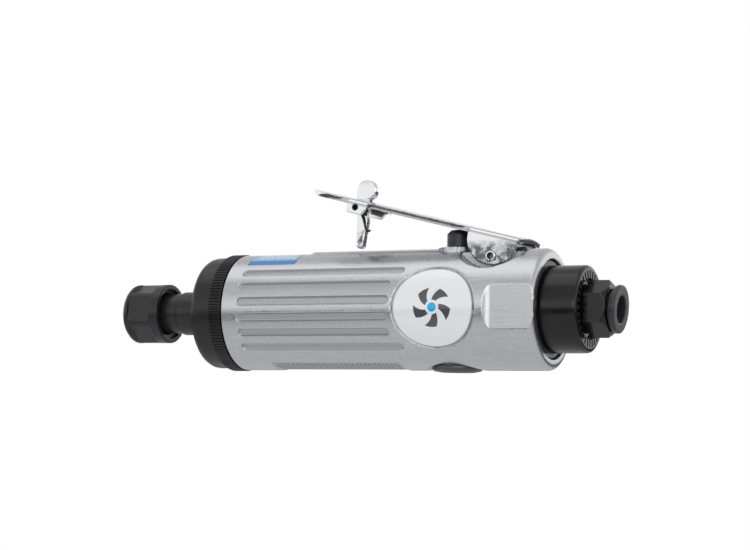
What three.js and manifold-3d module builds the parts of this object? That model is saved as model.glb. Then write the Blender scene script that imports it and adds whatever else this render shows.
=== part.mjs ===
// Straight air die grinder with a safety-latched throttle lever.
// Millimetres. +X runs from the collet to the air inlet along the spindle axis, +Z points up through
// the lever, and the origin is on the axis at the air inlet's end face, so the tool lies at negative X.
import * as THREE from "three";
import { mergeVertices } from "three/addons/utils/BufferGeometryUtils.js";
import Module from "manifold-3d";

const wasm = await Module();
wasm.setup();

// ---------------------------------------------------------------- driving dimensions
const BODY_RADIUS = 18.6;
const CAP_RADIUS = 18.9;
const NUT_RADIUS = 9.7;
const SPINDLE_RADIUS = 7.1;
const EXHAUST_RADIUS = 13.3;
const INLET_HEX_FLATS = 15.1;
const SHANK_RADIUS = 3.05; // the collet grips a 6 mm shank

// Stations along the axis, from the collet end to the inlet end.
const NOSE_X = -167;
const NUT_REAR_X = -153.2;
const CAP_FRONT_X = -136.2;
const KNURL_FRONT_X = -128.9;
const BODY_FRONT_X = -124;
const BODY_REAR_X = -18.7;
const EXHAUST_REAR_X = -7.1;
const INLET_REAR_X = 0;

const GAP = 0.3; // between pieces that meet
const RUNNING = 0.15; // radial clearance of a turning or sliding fit

// Air motor.
const CHAMBER_RADIUS = 14.5;
const ROTOR_RADIUS = 9.9;
const ROTOR_OFFSET = 1.2; // how far the liner's bore sits above the spindle axis
const MOTOR_FRONT_X = -110.4;
const MOTOR_REAR_X = -76.4;
const VANE_COUNT = 5;
const VANE_THICKNESS = 1.4;
const VANE_HEIGHT = 6.2;

// Throttle lever, in its own frame: origin at the pivot, -X towards its tip.
const PIVOT = { x: -36.2, z: 16 };
const LEVER_SLOPE = THREE.MathUtils.degToRad(13.9);
const LEVER_TIP_X = -67.3;
const LEVER_REAR_X = 8.5;
const LEVER_WIDTH = 16.4;
const LEVER_SHEET = 1.4;
const LEVER_TOP_Z = 7.8;
const LEVER_CROWN = 0.8;
const EAR_RADIUS = 8.2;
const EAR_CENTRE = { x: -0.8, z: 5.2 };
const LATCH_PIVOT = { x: -48.6, z: 4.9 };

// Throttle valve and regulator share one vertical axis.
const VALVE_X = -50;
const BUTTON_RADIUS = 3.75;
const BUTTON_TOP_Z = 24.95;
const PAD_TOP_Z = 18.95;
const REGULATOR_RADIUS = 7.9;

// Surface features of the housing.
const GROOVE_WIDTH = 2.5;
const GROOVE_DEPTH = 0.9;
const GROOVE_FRONT_X = -118.6;
const GROOVE_ANGLES = [7.85, 23.5, 39.3];
const GROOVE_REAR_X = [-65.6, -65.6, -61.9];
const BADGE = { x: -51, radius: 13, recess: 13.8 }; // radii along the curved surface
const FLAT_HALF_WIDTH = 17.3;
const FLAT_FRONT_X = -32.3;
const FLAT_RUN_OUT = 2.9; // radius of the cutter that ends each flat

// ---------------------------------------------------------------- solids
const half = Math.PI / 2;
const degrees = THREE.MathUtils.degToRad;

// A closed three.js geometry as a solid, whichever way round its faces were.
function solid(geometry) {
  geometry.deleteAttribute("normal");
  geometry.deleteAttribute("uv");
  const merged = mergeVertices(geometry, 1e-4);
  const source = merged.index.array;
  const corners = [];
  for (let i = 0; i < source.length; i += 3) {
    const [a, b, c] = [source[i], source[i + 1], source[i + 2]];
    if (a !== b && b !== c && c !== a) corners.push(a, b, c);
  }
  const make = (order) =>
    new wasm.Manifold(
      new wasm.Mesh({
        numProp: 3,
        vertProperties: merged.attributes.position.array,
        triVerts: new Uint32Array(order),
      }),
    );
  const made = make(corners);
  return made.volume() < 0 ? make(corners.reverse()) : made;
}

function geometryOf(shape) {
  const mesh = shape.getMesh();
  const geometry = new THREE.BufferGeometry();
  geometry.setAttribute("position", new THREE.BufferAttribute(mesh.vertProperties, 3));
  geometry.setIndex(new THREE.BufferAttribute(mesh.triVerts, 1));
  return geometry;
}

const union = (...shapes) => shapes.reduce((a, b) => a.add(b));
const without = (shape, ...cutters) => cutters.reduce((a, b) => a.subtract(b), shape);

// A profile of [x, radius] points turned about the X axis, and one of [z, radius] about the Z axis.
function turned(profile, segments = 24) {
  const points = profile.map(([along, radius]) => new THREE.Vector2(radius, along));
  return solid(new THREE.LatheGeometry(points, segments).rotateZ(-half));
}
function turnedUpright(profile, segments = 20) {
  const points = profile.map(([along, radius]) => new THREE.Vector2(radius, along));
  return solid(new THREE.LatheGeometry(points, segments).rotateX(half));
}

function rod(x0, x1, radius, segments = 24) {
  return turned([[x0, 0], [x0, radius], [x1, radius], [x1, 0]], segments);
}
function ring(x0, x1, inner, outer, segments = 22) {
  return turned([[x0, inner], [x0, outer], [x1, outer], [x1, inner], [x0, inner]], segments);
}
function post(x, z0, z1, radius, segments = 20) {
  return turnedUpright([[z0, 0], [z0, radius], [z1, radius], [z1, 0]], segments).translate([x, 0, 0]);
}
function postRing(x, z0, z1, inner, outer, segments = 20) {
  const profile = [[z0, inner], [z0, outer], [z1, outer], [z1, inner], [z0, inner]];
  return turnedUpright(profile, segments).translate([x, 0, 0]);
}
// A cylinder along Y.
function across(x, z, y0, y1, radius, segments = 20) {
  const geometry = new THREE.CylinderGeometry(radius, radius, y1 - y0, segments);
  return solid(geometry.translate(x, (y0 + y1) / 2, z));
}
function block(x0, x1, y0, y1, z0, z1) {
  const geometry = new THREE.BoxGeometry(x1 - x0, y1 - y0, z1 - z0);
  return solid(geometry.translate((x0 + x1) / 2, (y0 + y1) / 2, (z0 + z1) / 2));
}
// A shape drawn in X and Z, given thickness along Y.
function plate(shape, y0, y1, curveSegments = 10) {
  const geometry = new THREE.ExtrudeGeometry(shape, { depth: y1 - y0, bevelEnabled: false, curveSegments });
  return solid(geometry.rotateX(half).translate(0, y1, 0));
}
// A shape drawn in X and Y, given thickness along Z.
function slab(shape, z0, z1, curveSegments = 10) {
  const geometry = new THREE.ExtrudeGeometry(shape, { depth: z1 - z0, bevelEnabled: false, curveSegments });
  return solid(geometry.translate(0, 0, z0));
}
function hexPrism(x0, x1, flats) {
  const radius = flats / Math.sqrt(3);
  return solid(new THREE.CylinderGeometry(radius, radius, x1 - x0, 6).rotateZ(half).rotateX(half)
    .translate((x0 + x1) / 2, 0, 0)).rotate([30, 0, 0]);
}

// A round wire along a curve.
function wire(curve, radius, steps, sides = 6) {
  const section = new THREE.Shape(
    Array.from({ length: sides }, (_, i) => {
      const angle = (2 * Math.PI * i) / sides;
      return new THREE.Vector2(radius * Math.cos(angle), radius * Math.sin(angle));
    }),
  );
  return solid(new THREE.ExtrudeGeometry(section, { steps, bevelEnabled: false, extrudePath: curve }));
}

// A helix about the Z axis, rising from z = 0.
class Helix extends THREE.Curve {
  constructor(radius, pitch, turns) {
    super();
    Object.assign(this, { radius, pitch, turns });
  }
  getPoint(t, target = new THREE.Vector3()) {
    const angle = 2 * Math.PI * this.turns * t;
    const { radius, pitch, turns } = this;
    return target.set(radius * Math.cos(angle), radius * Math.sin(angle), pitch * turns * t);
  }
}

// ---------------------------------------------------------------- finishes and the scene graph
const finish = (color, roughness, metalness) => ({ color, roughness, metalness });
const ALUMINIUM = finish(0xb9bcc1, 0.38, 1);
const BLACK_OXIDE = finish(0x1d1d21, 0.42, 0.8);
const CHROME = finish(0xd6d9df, 0.16, 1);
const STEEL = finish(0x8f9297, 0.3, 1);
const BRASS = finish(0xb08d46, 0.35, 1);
const RUBBER = finish(0x141414, 0.8, 0);
const FELT = finish(0x6c6a63, 0.95, 0);
const VANE_LAMINATE = finish(0x6f4a26, 0.7, 0);
const LABEL_BLUE = finish(0x4a90d0, 0.35, 0);
const BADGE_WHITE = finish(0xe4e7ef, 0.3, 0);
const BLACK_PLASTIC = finish(0x17171a, 0.45, 0);
const DARK_METAL = finish(0x3a3b3f, 0.45, 0.8);
const ETCHED_METAL = finish(0x96979a, 0.5, 0.9);

const grinder = new THREE.Group();
grinder.name = "die_grinder";

function part(name, shape, look, parent = grinder) {
  const mesh = new THREE.Mesh(geometryOf(shape), new THREE.MeshStandardMaterial(look));
  mesh.name = name;
  parent.add(mesh);
  return mesh;
}

// ---------------------------------------------------------------- housing
const REAR_CHAMBER_X = -27.5;
const REAR_CHAMBER_RADIUS = 15.3;
const COUNTERBORE_REAR_X = -114.6;
const CHAMBER_REAR_X = -62;
const SCOOP = { x: -35.9, z: 25.2, radius: 13.2, wall: 6.5 };

function housingBlank() {
  const fillet = 2;
  const chamfer = 0.4;
  const profile = [
    [BODY_FRONT_X, 0], [BODY_FRONT_X, BODY_RADIUS - chamfer], [BODY_FRONT_X + chamfer, BODY_RADIUS],
  ];
  for (let i = 0; i <= 2; i++) {
    const angle = (half * i) / 2;
    const x = BODY_REAR_X - fillet + fillet * Math.sin(angle);
    profile.push([x, BODY_RADIUS - fillet + fillet * Math.cos(angle)]);
  }
  profile.push([BODY_REAR_X, 0]);
  const padHalfWidth = 3.6;
  const pad = block(-101.3, BODY_REAR_X - 5, -padHalfWidth, padHalfWidth, 0, PAD_TOP_Z);
  const bossRadius = 6.2;
  const bossTop = PAD_TOP_Z + 0.65;
  const boss = turnedUpright([
    [0, 0], [0, bossRadius], [bossTop - 0.4, bossRadius], [bossTop, bossRadius - 0.6], [bossTop, 0],
  ]);
  return union(turned(profile, 60), pad, boss.translate([VALVE_X, 0, 0]));
}

// A long slot with round ends, sunk radially at an angle above the horizontal; side is 1 or -1.
function groove(angle, rearX, side) {
  const radius = GROOVE_WIDTH / 2;
  const front = GROOVE_FRONT_X + radius;
  const rear = rearX - radius;
  const outline = new THREE.Shape();
  outline.absarc(rear, 0, radius, -half, half, false);
  outline.absarc(front, 0, radius, half, 3 * half, false);
  outline.closePath();
  const cutter = slab(outline, BODY_RADIUS - GROOVE_DEPTH, BODY_RADIUS + 1, 4);
  return cutter.rotate([side * (90 - angle), 0, 0]);
}

function grooves() {
  const cutters = [];
  for (const side of [1, -1]) {
    GROOVE_ANGLES.forEach((angle, i) => {
      cutters.push(groove(angle, GROOVE_REAR_X[i], side));
      cutters.push(groove(-angle, GROOVE_REAR_X[i], side));
    });
  }
  return cutters;
}

// A disc wrapped round the housing's side, with radial walls from an inner radius to an outer one.
function radialDisc(radius, inner, outer) {
  const shape = new THREE.Shape().absarc(0, 0, radius, 0, 2 * Math.PI, false);
  const geometry = new THREE.ExtrudeGeometry(shape, { depth: 1, bevelEnabled: false, curveSegments: 18 });
  const position = geometry.attributes.position;
  for (let i = 0; i < position.count; i++) {
    const angle = position.getY(i) / BODY_RADIUS;
    const reach = inner + (outer - inner) * position.getZ(i);
    position.setXYZ(i, BADGE.x + position.getX(i), reach * Math.cos(angle), reach * Math.sin(angle));
  }
  return solid(geometry);
}

// A patch of the housing's surface between two stations, centred on the top (90) or the bottom (-90).
function patch(x0, x1, halfAngle, centre, inner, outer, segments = 8) {
  const points = [];
  for (let i = 0; i <= segments; i++) {
    const angle = degrees(centre - halfAngle + (2 * halfAngle * i) / segments);
    points.push(new THREE.Vector2(outer * Math.cos(angle), outer * Math.sin(angle)));
  }
  for (let i = segments; i >= 0; i--) {
    const angle = degrees(centre - halfAngle + (2 * halfAngle * i) / segments);
    points.push(new THREE.Vector2(inner * Math.cos(angle), inner * Math.sin(angle)));
  }
  const options = { depth: x1 - x0, bevelEnabled: false };
  const geometry = new THREE.ExtrudeGeometry(new THREE.Shape(points), options);
  return solid(geometry.rotateX(half).rotateZ(half).translate(x0, 0, 0));
}

const LABEL = { x0: -118.3, x1: -101.8, halfAngle: 38, depth: 0.5 };
const DATA_PLATE = { x0: -110.7, x1: -65.8, halfAngle: 27, depth: 0.5 };

function surfaceCuts() {
  const cutters = [];
  for (const side of [1, -1]) {
    const disc = radialDisc(BADGE.recess, 8, 30);
    const core = rod(BADGE.x - 20, BADGE.x + 20, BODY_RADIUS - 0.75, 60);
    cutters.push(disc.subtract(core).scale([1, side, 1]));
    const flat = block(FLAT_FRONT_X, 0, FLAT_HALF_WIDTH, 30, -9, 9);
    const runOut = post(FLAT_FRONT_X, -9, 9, FLAT_RUN_OUT, 24);
    const moved = runOut.translate([0, FLAT_HALF_WIDTH + FLAT_RUN_OUT, 0]);
    cutters.push(union(flat, moved).scale([1, side, 1]));
    cutters.push(across(SCOOP.x, SCOOP.z, SCOOP.wall, 30, SCOOP.radius, 48).scale([1, side, 1]));
  }
  const margin = 0.25;
  for (const [panel, centre] of [[LABEL, 90], [DATA_PLATE, -90]]) {
    const halfAngle = panel.halfAngle + THREE.MathUtils.radToDeg(margin / BODY_RADIUS);
    const inner = BODY_RADIUS - panel.depth;
    cutters.push(patch(panel.x0 - margin, panel.x1 + margin, halfAngle, centre, inner, BODY_RADIUS + 2));
  }
  return cutters;
}

const VALVE_BORE_RADIUS = 7;
const BUSH_HOLE_RADIUS = 4.95;
const INLET_HOLE_RADIUS = 7.45;
const PASSAGE_RADIUS = 6;

function innerCuts() {
  const cutters = [
    rod(BODY_FRONT_X - 1, CHAMBER_REAR_X, CHAMBER_RADIUS),
    rod(BODY_FRONT_X - 1, COUNTERBORE_REAR_X, 16.3),
    rod(REAR_CHAMBER_X, BODY_REAR_X + 1, REAR_CHAMBER_RADIUS),
    rod(-38, REAR_CHAMBER_X + 1, INLET_HOLE_RADIUS),
    rod(-44, -37, PASSAGE_RADIUS, 32),
    rod(CHAMBER_REAR_X - 1, VALVE_X - 5, 2, 16).translate([0, 0, 1.5]), // air feed to the motor
    post(VALVE_X, 8, 30, BUSH_HOLE_RADIUS),
    post(VALVE_X, 2, 9, 1.9, 16),
    post(VALVE_X, -30, 3, VALVE_BORE_RADIUS),
    post(VALVE_X, -30, -16, REGULATOR_RADIUS + GAP),
    turnedUpright([[-20, 0], [-20, 11.2], [-17.2, REGULATOR_RADIUS + GAP], [-17.2, 0]])
      .translate([VALVE_X, 0, 0]),
    across(PIVOT.x, PIVOT.z, -10, 10, 1.8),
  ];
  // Exhaust ways past both sides of the valve.
  cutters.push(block(CHAMBER_REAR_X - 2, REAR_CHAMBER_X + 1, 9.6, 13.2, -4.5, 4.5));
  cutters.push(block(CHAMBER_REAR_X - 2, REAR_CHAMBER_X + 1, -13.2, -9.6, -4.5, 4.5));
  return cutters;
}

function housing() {
  return without(housingBlank(), ...grooves(), ...surfaceCuts(), ...innerCuts());
}

// A disc wrapped onto the housing in its recess.
function badge(side) {
  const disc = radialDisc(BADGE.radius, 8, 30);
  const shell = ring(BADGE.x - 20, BADGE.x + 20, BODY_RADIUS - 0.6, BODY_RADIUS - 0.05, 60);
  return disc.intersect(shell).scale([1, side, 1]);
}

part("housing", housing(), ALUMINIUM);
part("badge_near", badge(-1), BADGE_WHITE);
part("badge_far", badge(1), BADGE_WHITE);
const skin = (panel, centre) =>
  patch(panel.x0, panel.x1, panel.halfAngle, centre, BODY_RADIUS - panel.depth + 0.1, BODY_RADIUS - 0.02);
part("top_label", skin(LABEL, 90), LABEL_BLUE);
part("data_plate", skin(DATA_PLATE, -90), ETCHED_METAL);

// ---------------------------------------------------------------- front end
const CAP_WALL_REAR_X = CAP_FRONT_X + 4;
const CAP_CAVITY_RADIUS = 13.6;
const CAP_NECK_REAR_X = -115;
const SPINDLE_HOLE_RADIUS = SPINDLE_RADIUS + 0.4;
const FRONT_SEAT_X = -125.9;
const FRONT_BEARING = { inner: 6.15, outer: 11.9, pitch: 9, ball: 1.55, width: 6, count: 8 };
const REAR_BEARING = { inner: 4.15, outer: 10.9, pitch: 7.5, ball: 1.9, width: 7, count: 7 };
const REAR_SEAT_X = -71.8;
const LINER_RADIUS = 14.2;
const PLATE_HUB_RADIUS = 13.2;

// A threaded ring that clamps the motor into the housing, with a band for the knurl behind its lip.
function frontCap() {
  const lip = CAP_RADIUS - 0.9;
  const round = 1.2;
  const profile = [[CAP_FRONT_X, SPINDLE_HOLE_RADIUS], [CAP_FRONT_X, lip - round]];
  for (let i = 1; i <= 3; i++) {
    const angle = (half * i) / 3;
    profile.push([CAP_FRONT_X + round - round * Math.cos(angle), lip - round + round * Math.sin(angle)]);
  }
  profile.push(
    [KNURL_FRONT_X, lip],
    [KNURL_FRONT_X + 0.3, CAP_RADIUS],
    [BODY_FRONT_X - GAP, CAP_RADIUS],
    [BODY_FRONT_X - GAP, 16],
    [CAP_NECK_REAR_X, 16],
    [CAP_NECK_REAR_X, CAP_CAVITY_RADIUS],
    [CAP_WALL_REAR_X, CAP_CAVITY_RADIUS],
    [CAP_WALL_REAR_X, SPINDLE_HOLE_RADIUS],
    [CAP_FRONT_X, SPINDLE_HOLE_RADIUS],
  );
  return turned(profile, 32);
}

// One sealed ball bearing as its outer ring, inner ring, and caged balls.
function bearingRings(x0, size) {
  const x1 = x0 + size.width;
  const middle = x0 + size.width / 2;
  const track = size.ball + 0.2;
  const land = 1.0;
  const groove = (side) => [
    [middle - track * 0.9, size.pitch + side * land], [middle - track * 0.6, size.pitch + side * track],
    [middle + track * 0.6, size.pitch + side * track], [middle + track * 0.9, size.pitch + side * land],
  ];
  const around = (radius, side) => [
    [x0, radius], [x0, size.pitch + side * land], ...groove(side),
    [x1, size.pitch + side * land], [x1, radius], [x0, radius],
  ];
  return { inner: turned(around(size.inner, -1), 18), outer: turned(around(size.outer, 1), 18) };
}
function bearingBalls(x0, size) {
  const middle = x0 + size.width / 2;
  const cage = ring(middle - 0.9, middle + 0.9, size.pitch - 0.35, size.pitch + 0.35, 16);
  const balls = Array.from({ length: size.count }, (_, i) => {
    const ball = solid(new THREE.SphereGeometry(size.ball, 6, 4).translate(middle, size.pitch, 0));
    return ball.rotate([(360 * i) / size.count, 0, 0]);
  });
  return union(cage, ...balls);
}

function frontPlate() {
  const seatWall = FRONT_BEARING.outer + 0.1;
  const front = FRONT_SEAT_X - 0.2;
  const floor = FRONT_SEAT_X + FRONT_BEARING.width + GAP;
  const shoulder = CAP_NECK_REAR_X + GAP;
  const rear = MOTOR_FRONT_X - GAP;
  return turned([
    [front, seatWall], [front, PLATE_HUB_RADIUS], [shoulder, PLATE_HUB_RADIUS], [shoulder, LINER_RADIUS],
    [rear, LINER_RADIUS], [rear, 7], [floor, 7], [floor, seatWall], [front, seatWall],
  ]);
}

function rearPlate() {
  const seatWall = REAR_BEARING.outer + 0.1;
  const front = MOTOR_REAR_X + GAP;
  const shoulder = MOTOR_REAR_X + 4.3;
  const floor = REAR_SEAT_X - GAP;
  const rear = REAR_SEAT_X + REAR_BEARING.width + 0.2;
  const hole = 4.6;
  return turned([
    [front, hole], [front, LINER_RADIUS], [shoulder, LINER_RADIUS], [shoulder, PLATE_HUB_RADIUS],
    [rear, PLATE_HUB_RADIUS], [rear, seatWall], [floor, seatWall], [floor, hole], [front, hole],
  ]);
}

// The liner's bore is offset upwards, so that the rotor nearly touches it at the bottom.
function cylinderLiner() {
  const bore = ROTOR_RADIUS + ROTOR_OFFSET + RUNNING;
  const tube = rod(MOTOR_FRONT_X, MOTOR_REAR_X, LINER_RADIUS);
  const hole = rod(MOTOR_FRONT_X - 1, MOTOR_REAR_X + 1, bore).translate([0, 0, ROTOR_OFFSET]);
  const middle = (MOTOR_FRONT_X + MOTOR_REAR_X) / 2;
  const ports = [-10, 0, 10].map((dx) => block(middle + dx - 2, middle + dx + 2, -16, -8, -1.5, 3.5));
  const inlet = block(middle - 9, middle + 9, 8, 16, 3, 5);
  return without(tube, hole, inlet, ...ports);
}

const DOWEL = { z: -12.5, radius: 1 };
const dowelHole = rod(COUNTERBORE_REAR_X - 0.3, MOTOR_REAR_X + 3.3, DOWEL.radius + 0.25, 16)
  .translate([0, 0, DOWEL.z]);

part("front_cap", frontCap(), BLACK_OXIDE);
part("dust_seal", ring(CAP_WALL_REAR_X + GAP, CAP_WALL_REAR_X + 2.3, SPINDLE_HOLE_RADIUS, 13), FELT);
part("front_plate", frontPlate().subtract(dowelHole), STEEL);
part("cylinder_liner", cylinderLiner().subtract(dowelHole), STEEL);
part("rear_plate", rearPlate().subtract(dowelHole), STEEL);
part(
  "alignment_pin",
  rod(COUNTERBORE_REAR_X + 0.2, MOTOR_REAR_X + 3, DOWEL.radius, 12).translate([0, 0, DOWEL.z]),
  STEEL,
);
part("wave_washer", ring(-64.2, -63.4, 7.6, 12.6), STEEL);
const bearings = [["front", FRONT_SEAT_X, FRONT_BEARING], ["rear", REAR_SEAT_X, REAR_BEARING]];
for (const [name, x0, size] of bearings) {
  const rings = bearingRings(x0, size);
  part(name + "_bearing_outer", rings.outer, STEEL);
  part(name + "_bearing_inner", rings.inner, STEEL);
  part(name + "_bearing_balls", bearingBalls(x0, size), CHROME);
}

// ---------------------------------------------------------------- spindle, collet and rotor
const THREAD_RADIUS = 6.35;
const NECK = { threadEnd: -150.2, collarFront: -147.7, collarRadius: 6.6 };
const WRENCH_FLAT = { front: -145.2, rear: -142.3, halfWidth: 3.1, depth: 6.0, turn: 66.4 };
const TAPER = { frontX: NOSE_X + 2.6, frontRadius: 5.5, rearX: -149, rearRadius: 4.0 };

// Spindle and rotor in one piece: collet seat, neck with wrench flats, bearing journals, slotted drum.
function rotorSpindle() {
  const shoulder = FRONT_SEAT_X - GAP;
  const { threadEnd, collarFront, collarRadius } = NECK;
  const profile = [
    [TAPER.frontX, TAPER.frontRadius], [TAPER.frontX, THREAD_RADIUS], [threadEnd, THREAD_RADIUS],
    [threadEnd, collarRadius], [collarFront, collarRadius], [collarFront + 0.3, SPINDLE_RADIUS],
    [shoulder, SPINDLE_RADIUS], [shoulder, FRONT_BEARING.inner - RUNNING],
    [MOTOR_FRONT_X + 0.1, FRONT_BEARING.inner - RUNNING], [MOTOR_FRONT_X + 0.1, ROTOR_RADIUS],
    [MOTOR_REAR_X - 0.1, ROTOR_RADIUS], [MOTOR_REAR_X - 0.1, REAR_BEARING.inner - RUNNING],
    [REAR_SEAT_X + REAR_BEARING.width + 0.6, REAR_BEARING.inner - RUNNING],
    [REAR_SEAT_X + REAR_BEARING.width + 0.6, 0], [TAPER.rearX + 3, 0], [TAPER.rearX, SHANK_RADIUS],
    [TAPER.rearX, TAPER.rearRadius], [TAPER.frontX, TAPER.frontRadius],
  ];
  const { front, rear, halfWidth, depth, turn } = WRENCH_FLAT;
  const flats = [0, 180].map((opposite) =>
    block(front, rear, -halfWidth, halfWidth, depth, 9).rotate([turn + opposite, 0, 0]),
  );
  return without(turned(profile, 28), ...flats, ...vaneSlots());
}

function vaneSlots() {
  const width = VANE_THICKNESS + 0.3;
  const floor = ROTOR_RADIUS - VANE_HEIGHT - 0.4;
  return Array.from({ length: VANE_COUNT }, (_, i) =>
    block(MOTOR_FRONT_X - 0.4, MOTOR_REAR_X + 0.4, -width / 2, width / 2, floor, ROTOR_RADIUS + 1)
      .rotate([(360 * i) / VANE_COUNT, 0, 0]),
  );
}

// The collet nut: round collars front and rear, a hexagon milled between them.
function colletNut() {
  const rear = NUT_REAR_X;
  const blank = turned([
    [NOSE_X, 4.4], [NOSE_X, NUT_RADIUS - 1.5], [NOSE_X + 1.3, NUT_RADIUS - 0.1], [NOSE_X + 1.6, NUT_RADIUS],
    [rear - 0.5, NUT_RADIUS], [rear, NUT_RADIUS - 0.5], [rear, 8.2], [rear - 1.2, 8.2], [rear - 1.6, 6.8],
    [NOSE_X + 2.2, 6.8], [NOSE_X + 2.2, 5.4], [NOSE_X, 4.4],
  ], 30);
  const apothem = 8.75;
  const milled = [NOSE_X + 2.4, rear - 3.2];
  const cutters = Array.from({ length: 6 }, (_, i) =>
    block(milled[0], milled[1], -8, 8, apothem, apothem + 3).rotate([60 * i + 22, 0, 0]),
  );
  return without(blank, ...cutters);
}

// A split taper sleeve.
function collet() {
  const front = NOSE_X + 0.3;
  const body = turned([
    [front, SHANK_RADIUS], [front, 4.0], [front + 1.9, 5.0], [TAPER.frontX + 1, 5.0],
    [TAPER.rearX - 0.8, 3.7], [TAPER.rearX - 0.8, SHANK_RADIUS], [front, SHANK_RADIUS],
  ], 20);
  const slits = [0, 60, 120].map((angle) =>
    block(front - 1, TAPER.rearX - 5, -0.4, 0.4, -7, 7).rotate([angle, 0, 0]),
  );
  return without(body, ...slits);
}

part("rotor_spindle", rotorSpindle(), BLACK_OXIDE);
part("collet_nut", colletNut(), BLACK_OXIDE);
part("collet", collet(), STEEL);
part("front_spacer", ring(FRONT_SEAT_X + FRONT_BEARING.width + 0.2, MOTOR_FRONT_X - 0.1, 6.2, 6.8), STEEL);
for (let i = 0; i < VANE_COUNT; i++) {
  const top = ROTOR_RADIUS - 0.1;
  const side = VANE_THICKNESS / 2;
  const blade = block(MOTOR_FRONT_X + GAP, MOTOR_REAR_X - GAP, -side, side, top - VANE_HEIGHT, top);
  const vane = part("vane_" + (i + 1), blade, VANE_LAMINATE);
  vane.rotation.x = degrees((360 * i) / VANE_COUNT);
}

// ---------------------------------------------------------------- throttle valve and regulator
const valve = new THREE.Group();
valve.position.x = VALVE_X;
grinder.add(valve);

const VALVE_SEAT_Z = { bottom: -3, top: 0.2 };
const REGULATOR_FACE_Z = -19.2;
const REGULATOR_TOP_Z = -8.2;
const SPRING = { bottom: -15, top: -6.7, radius: 2.6, wire: 0.35, turns: 5 };

function throttleStem() {
  const rodRadius = 1.4;
  const bottom = VALVE_SEAT_Z.bottom - 0.2;
  const chamfer = 1.3;
  return turnedUpright([
    [bottom, 0], [bottom, rodRadius], [9.6, rodRadius], [9.6, BUTTON_RADIUS],
    [11.2, BUTTON_RADIUS], [11.2, 2.55], [12.6, 2.55], [12.6, BUTTON_RADIUS],
    [BUTTON_TOP_Z - chamfer, BUTTON_RADIUS], [BUTTON_TOP_Z, BUTTON_RADIUS - chamfer], [BUTTON_TOP_Z, 0],
  ], 24);
}

function torus(radius, section, z) {
  const profile = Array.from({ length: 7 }, (_, i) => {
    const angle = (2 * Math.PI * i) / 6;
    return [z + section * Math.sin(angle), radius + section * Math.cos(angle)];
  });
  profile[6] = profile[0];
  return turnedUpright(profile, 16);
}

function airRegulator() {
  const face = REGULATOR_FACE_Z;
  const bevel = 0.6;
  const barrel = 6.7;
  const body = turnedUpright([
    [face, 0], [face, REGULATOR_RADIUS - bevel], [face + bevel, REGULATOR_RADIUS],
    [-17.2, REGULATOR_RADIUS], [-17.2, barrel], [-12, barrel], [-12, 5.7], [-10.6, 5.7], [-10.6, barrel],
    [REGULATOR_TOP_Z, barrel], [REGULATOR_TOP_Z, 5], [-15.5, 5], [-15.5, 0],
  ], 28);
  const slot = block(-5.5, 5.5, -0.8, 0.8, face - 1, face + 1.2);
  const port = block(0, 9, -2.2, 2.2, -9.9, -7);
  return without(body, slot, port);
}

function valveSpring() {
  const pitch = (SPRING.top - SPRING.bottom) / SPRING.turns;
  const helix = new Helix(SPRING.radius, pitch, SPRING.turns);
  return wire(helix, SPRING.wire, SPRING.turns * 7, 4).translate([0, 0, SPRING.bottom]);
}

part("throttle_stem", throttleStem(), BLACK_PLASTIC, valve);
part("stem_o_ring", torus(3.15, 0.5, 11.9), RUBBER, valve);
part(
  "stem_bush",
  postRing(0, 9, PAD_TOP_Z + 0.3, BUTTON_RADIUS + RUNNING, BUSH_HOLE_RADIUS - 0.2),
  BRASS,
  valve,
);
part(
  "valve_seat",
  postRing(0, VALVE_SEAT_Z.bottom, VALVE_SEAT_Z.top, 3, VALVE_BORE_RADIUS - 0.2),
  BRASS,
  valve,
);
part(
  "valve_poppet",
  turnedUpright([[-7.6, 0], [-7.6, 1.6], [-6.2, 1.6], [-6.2, 4.3], [-5, 4.3], [-3.4, 2.8], [-3.4, 0]], 24),
  RUBBER,
  valve,
);
part("valve_spring", valveSpring(), STEEL, valve);
part("air_regulator", airRegulator(), DARK_METAL, valve);
part("regulator_o_ring", torus(6.4, 0.4, -11.3), RUBBER, valve);
part("regulator_clip", postRing(0, -16.9, -16.2, 6.9, REGULATOR_RADIUS), STEEL, valve);

// ---------------------------------------------------------------- throttle lever and latch
const lever = new THREE.Group();
lever.position.set(PIVOT.x, 0, PIVOT.z);
lever.rotation.y = LEVER_SLOPE;
grinder.add(lever);

const EDGE = LEVER_WIDTH / 2;
const LATCH_HALF_WIDTH = 1.15;
const SLOT = { front: -10.6, rear: 3.9, halfWidth: 1.6, windowHalfWidth: 4.1, window: 2.7 };

// The lever's plan, rounded at its tip.
function leverPlan() {
  const plan = new THREE.Shape();
  plan.moveTo(LEVER_REAR_X, -EDGE);
  plan.lineTo(LEVER_REAR_X, EDGE);
  plan.lineTo(LEVER_TIP_X + EDGE, EDGE);
  plan.absarc(LEVER_TIP_X + EDGE, 0, EDGE, half, 3 * half, false);
  plan.closePath();
  return plan;
}

// The crowned strip's cross-section, swept along X.
function leverStrip() {
  const crownRadius = (EDGE * EDGE + LEVER_CROWN * LEVER_CROWN) / (2 * LEVER_CROWN);
  const reach = Math.asin(EDGE / crownRadius);
  const centreZ = LEVER_TOP_Z - crownRadius;
  const section = new THREE.Shape();
  section.absarc(0, 0, crownRadius, half - reach, half + reach, false);
  section.absarc(0, 0, crownRadius - LEVER_SHEET, half + reach, half - reach, true);
  section.closePath();
  const options = { depth: LEVER_REAR_X - LEVER_TIP_X + 2, bevelEnabled: false, curveSegments: 6 };
  const swept = new THREE.ExtrudeGeometry(section, options).rotateX(half).rotateZ(half);
  const strip = solid(swept.translate(LEVER_TIP_X - 1, 0, centreZ));
  return strip.intersect(slab(leverPlan(), 0, 12, 10));
}

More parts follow.
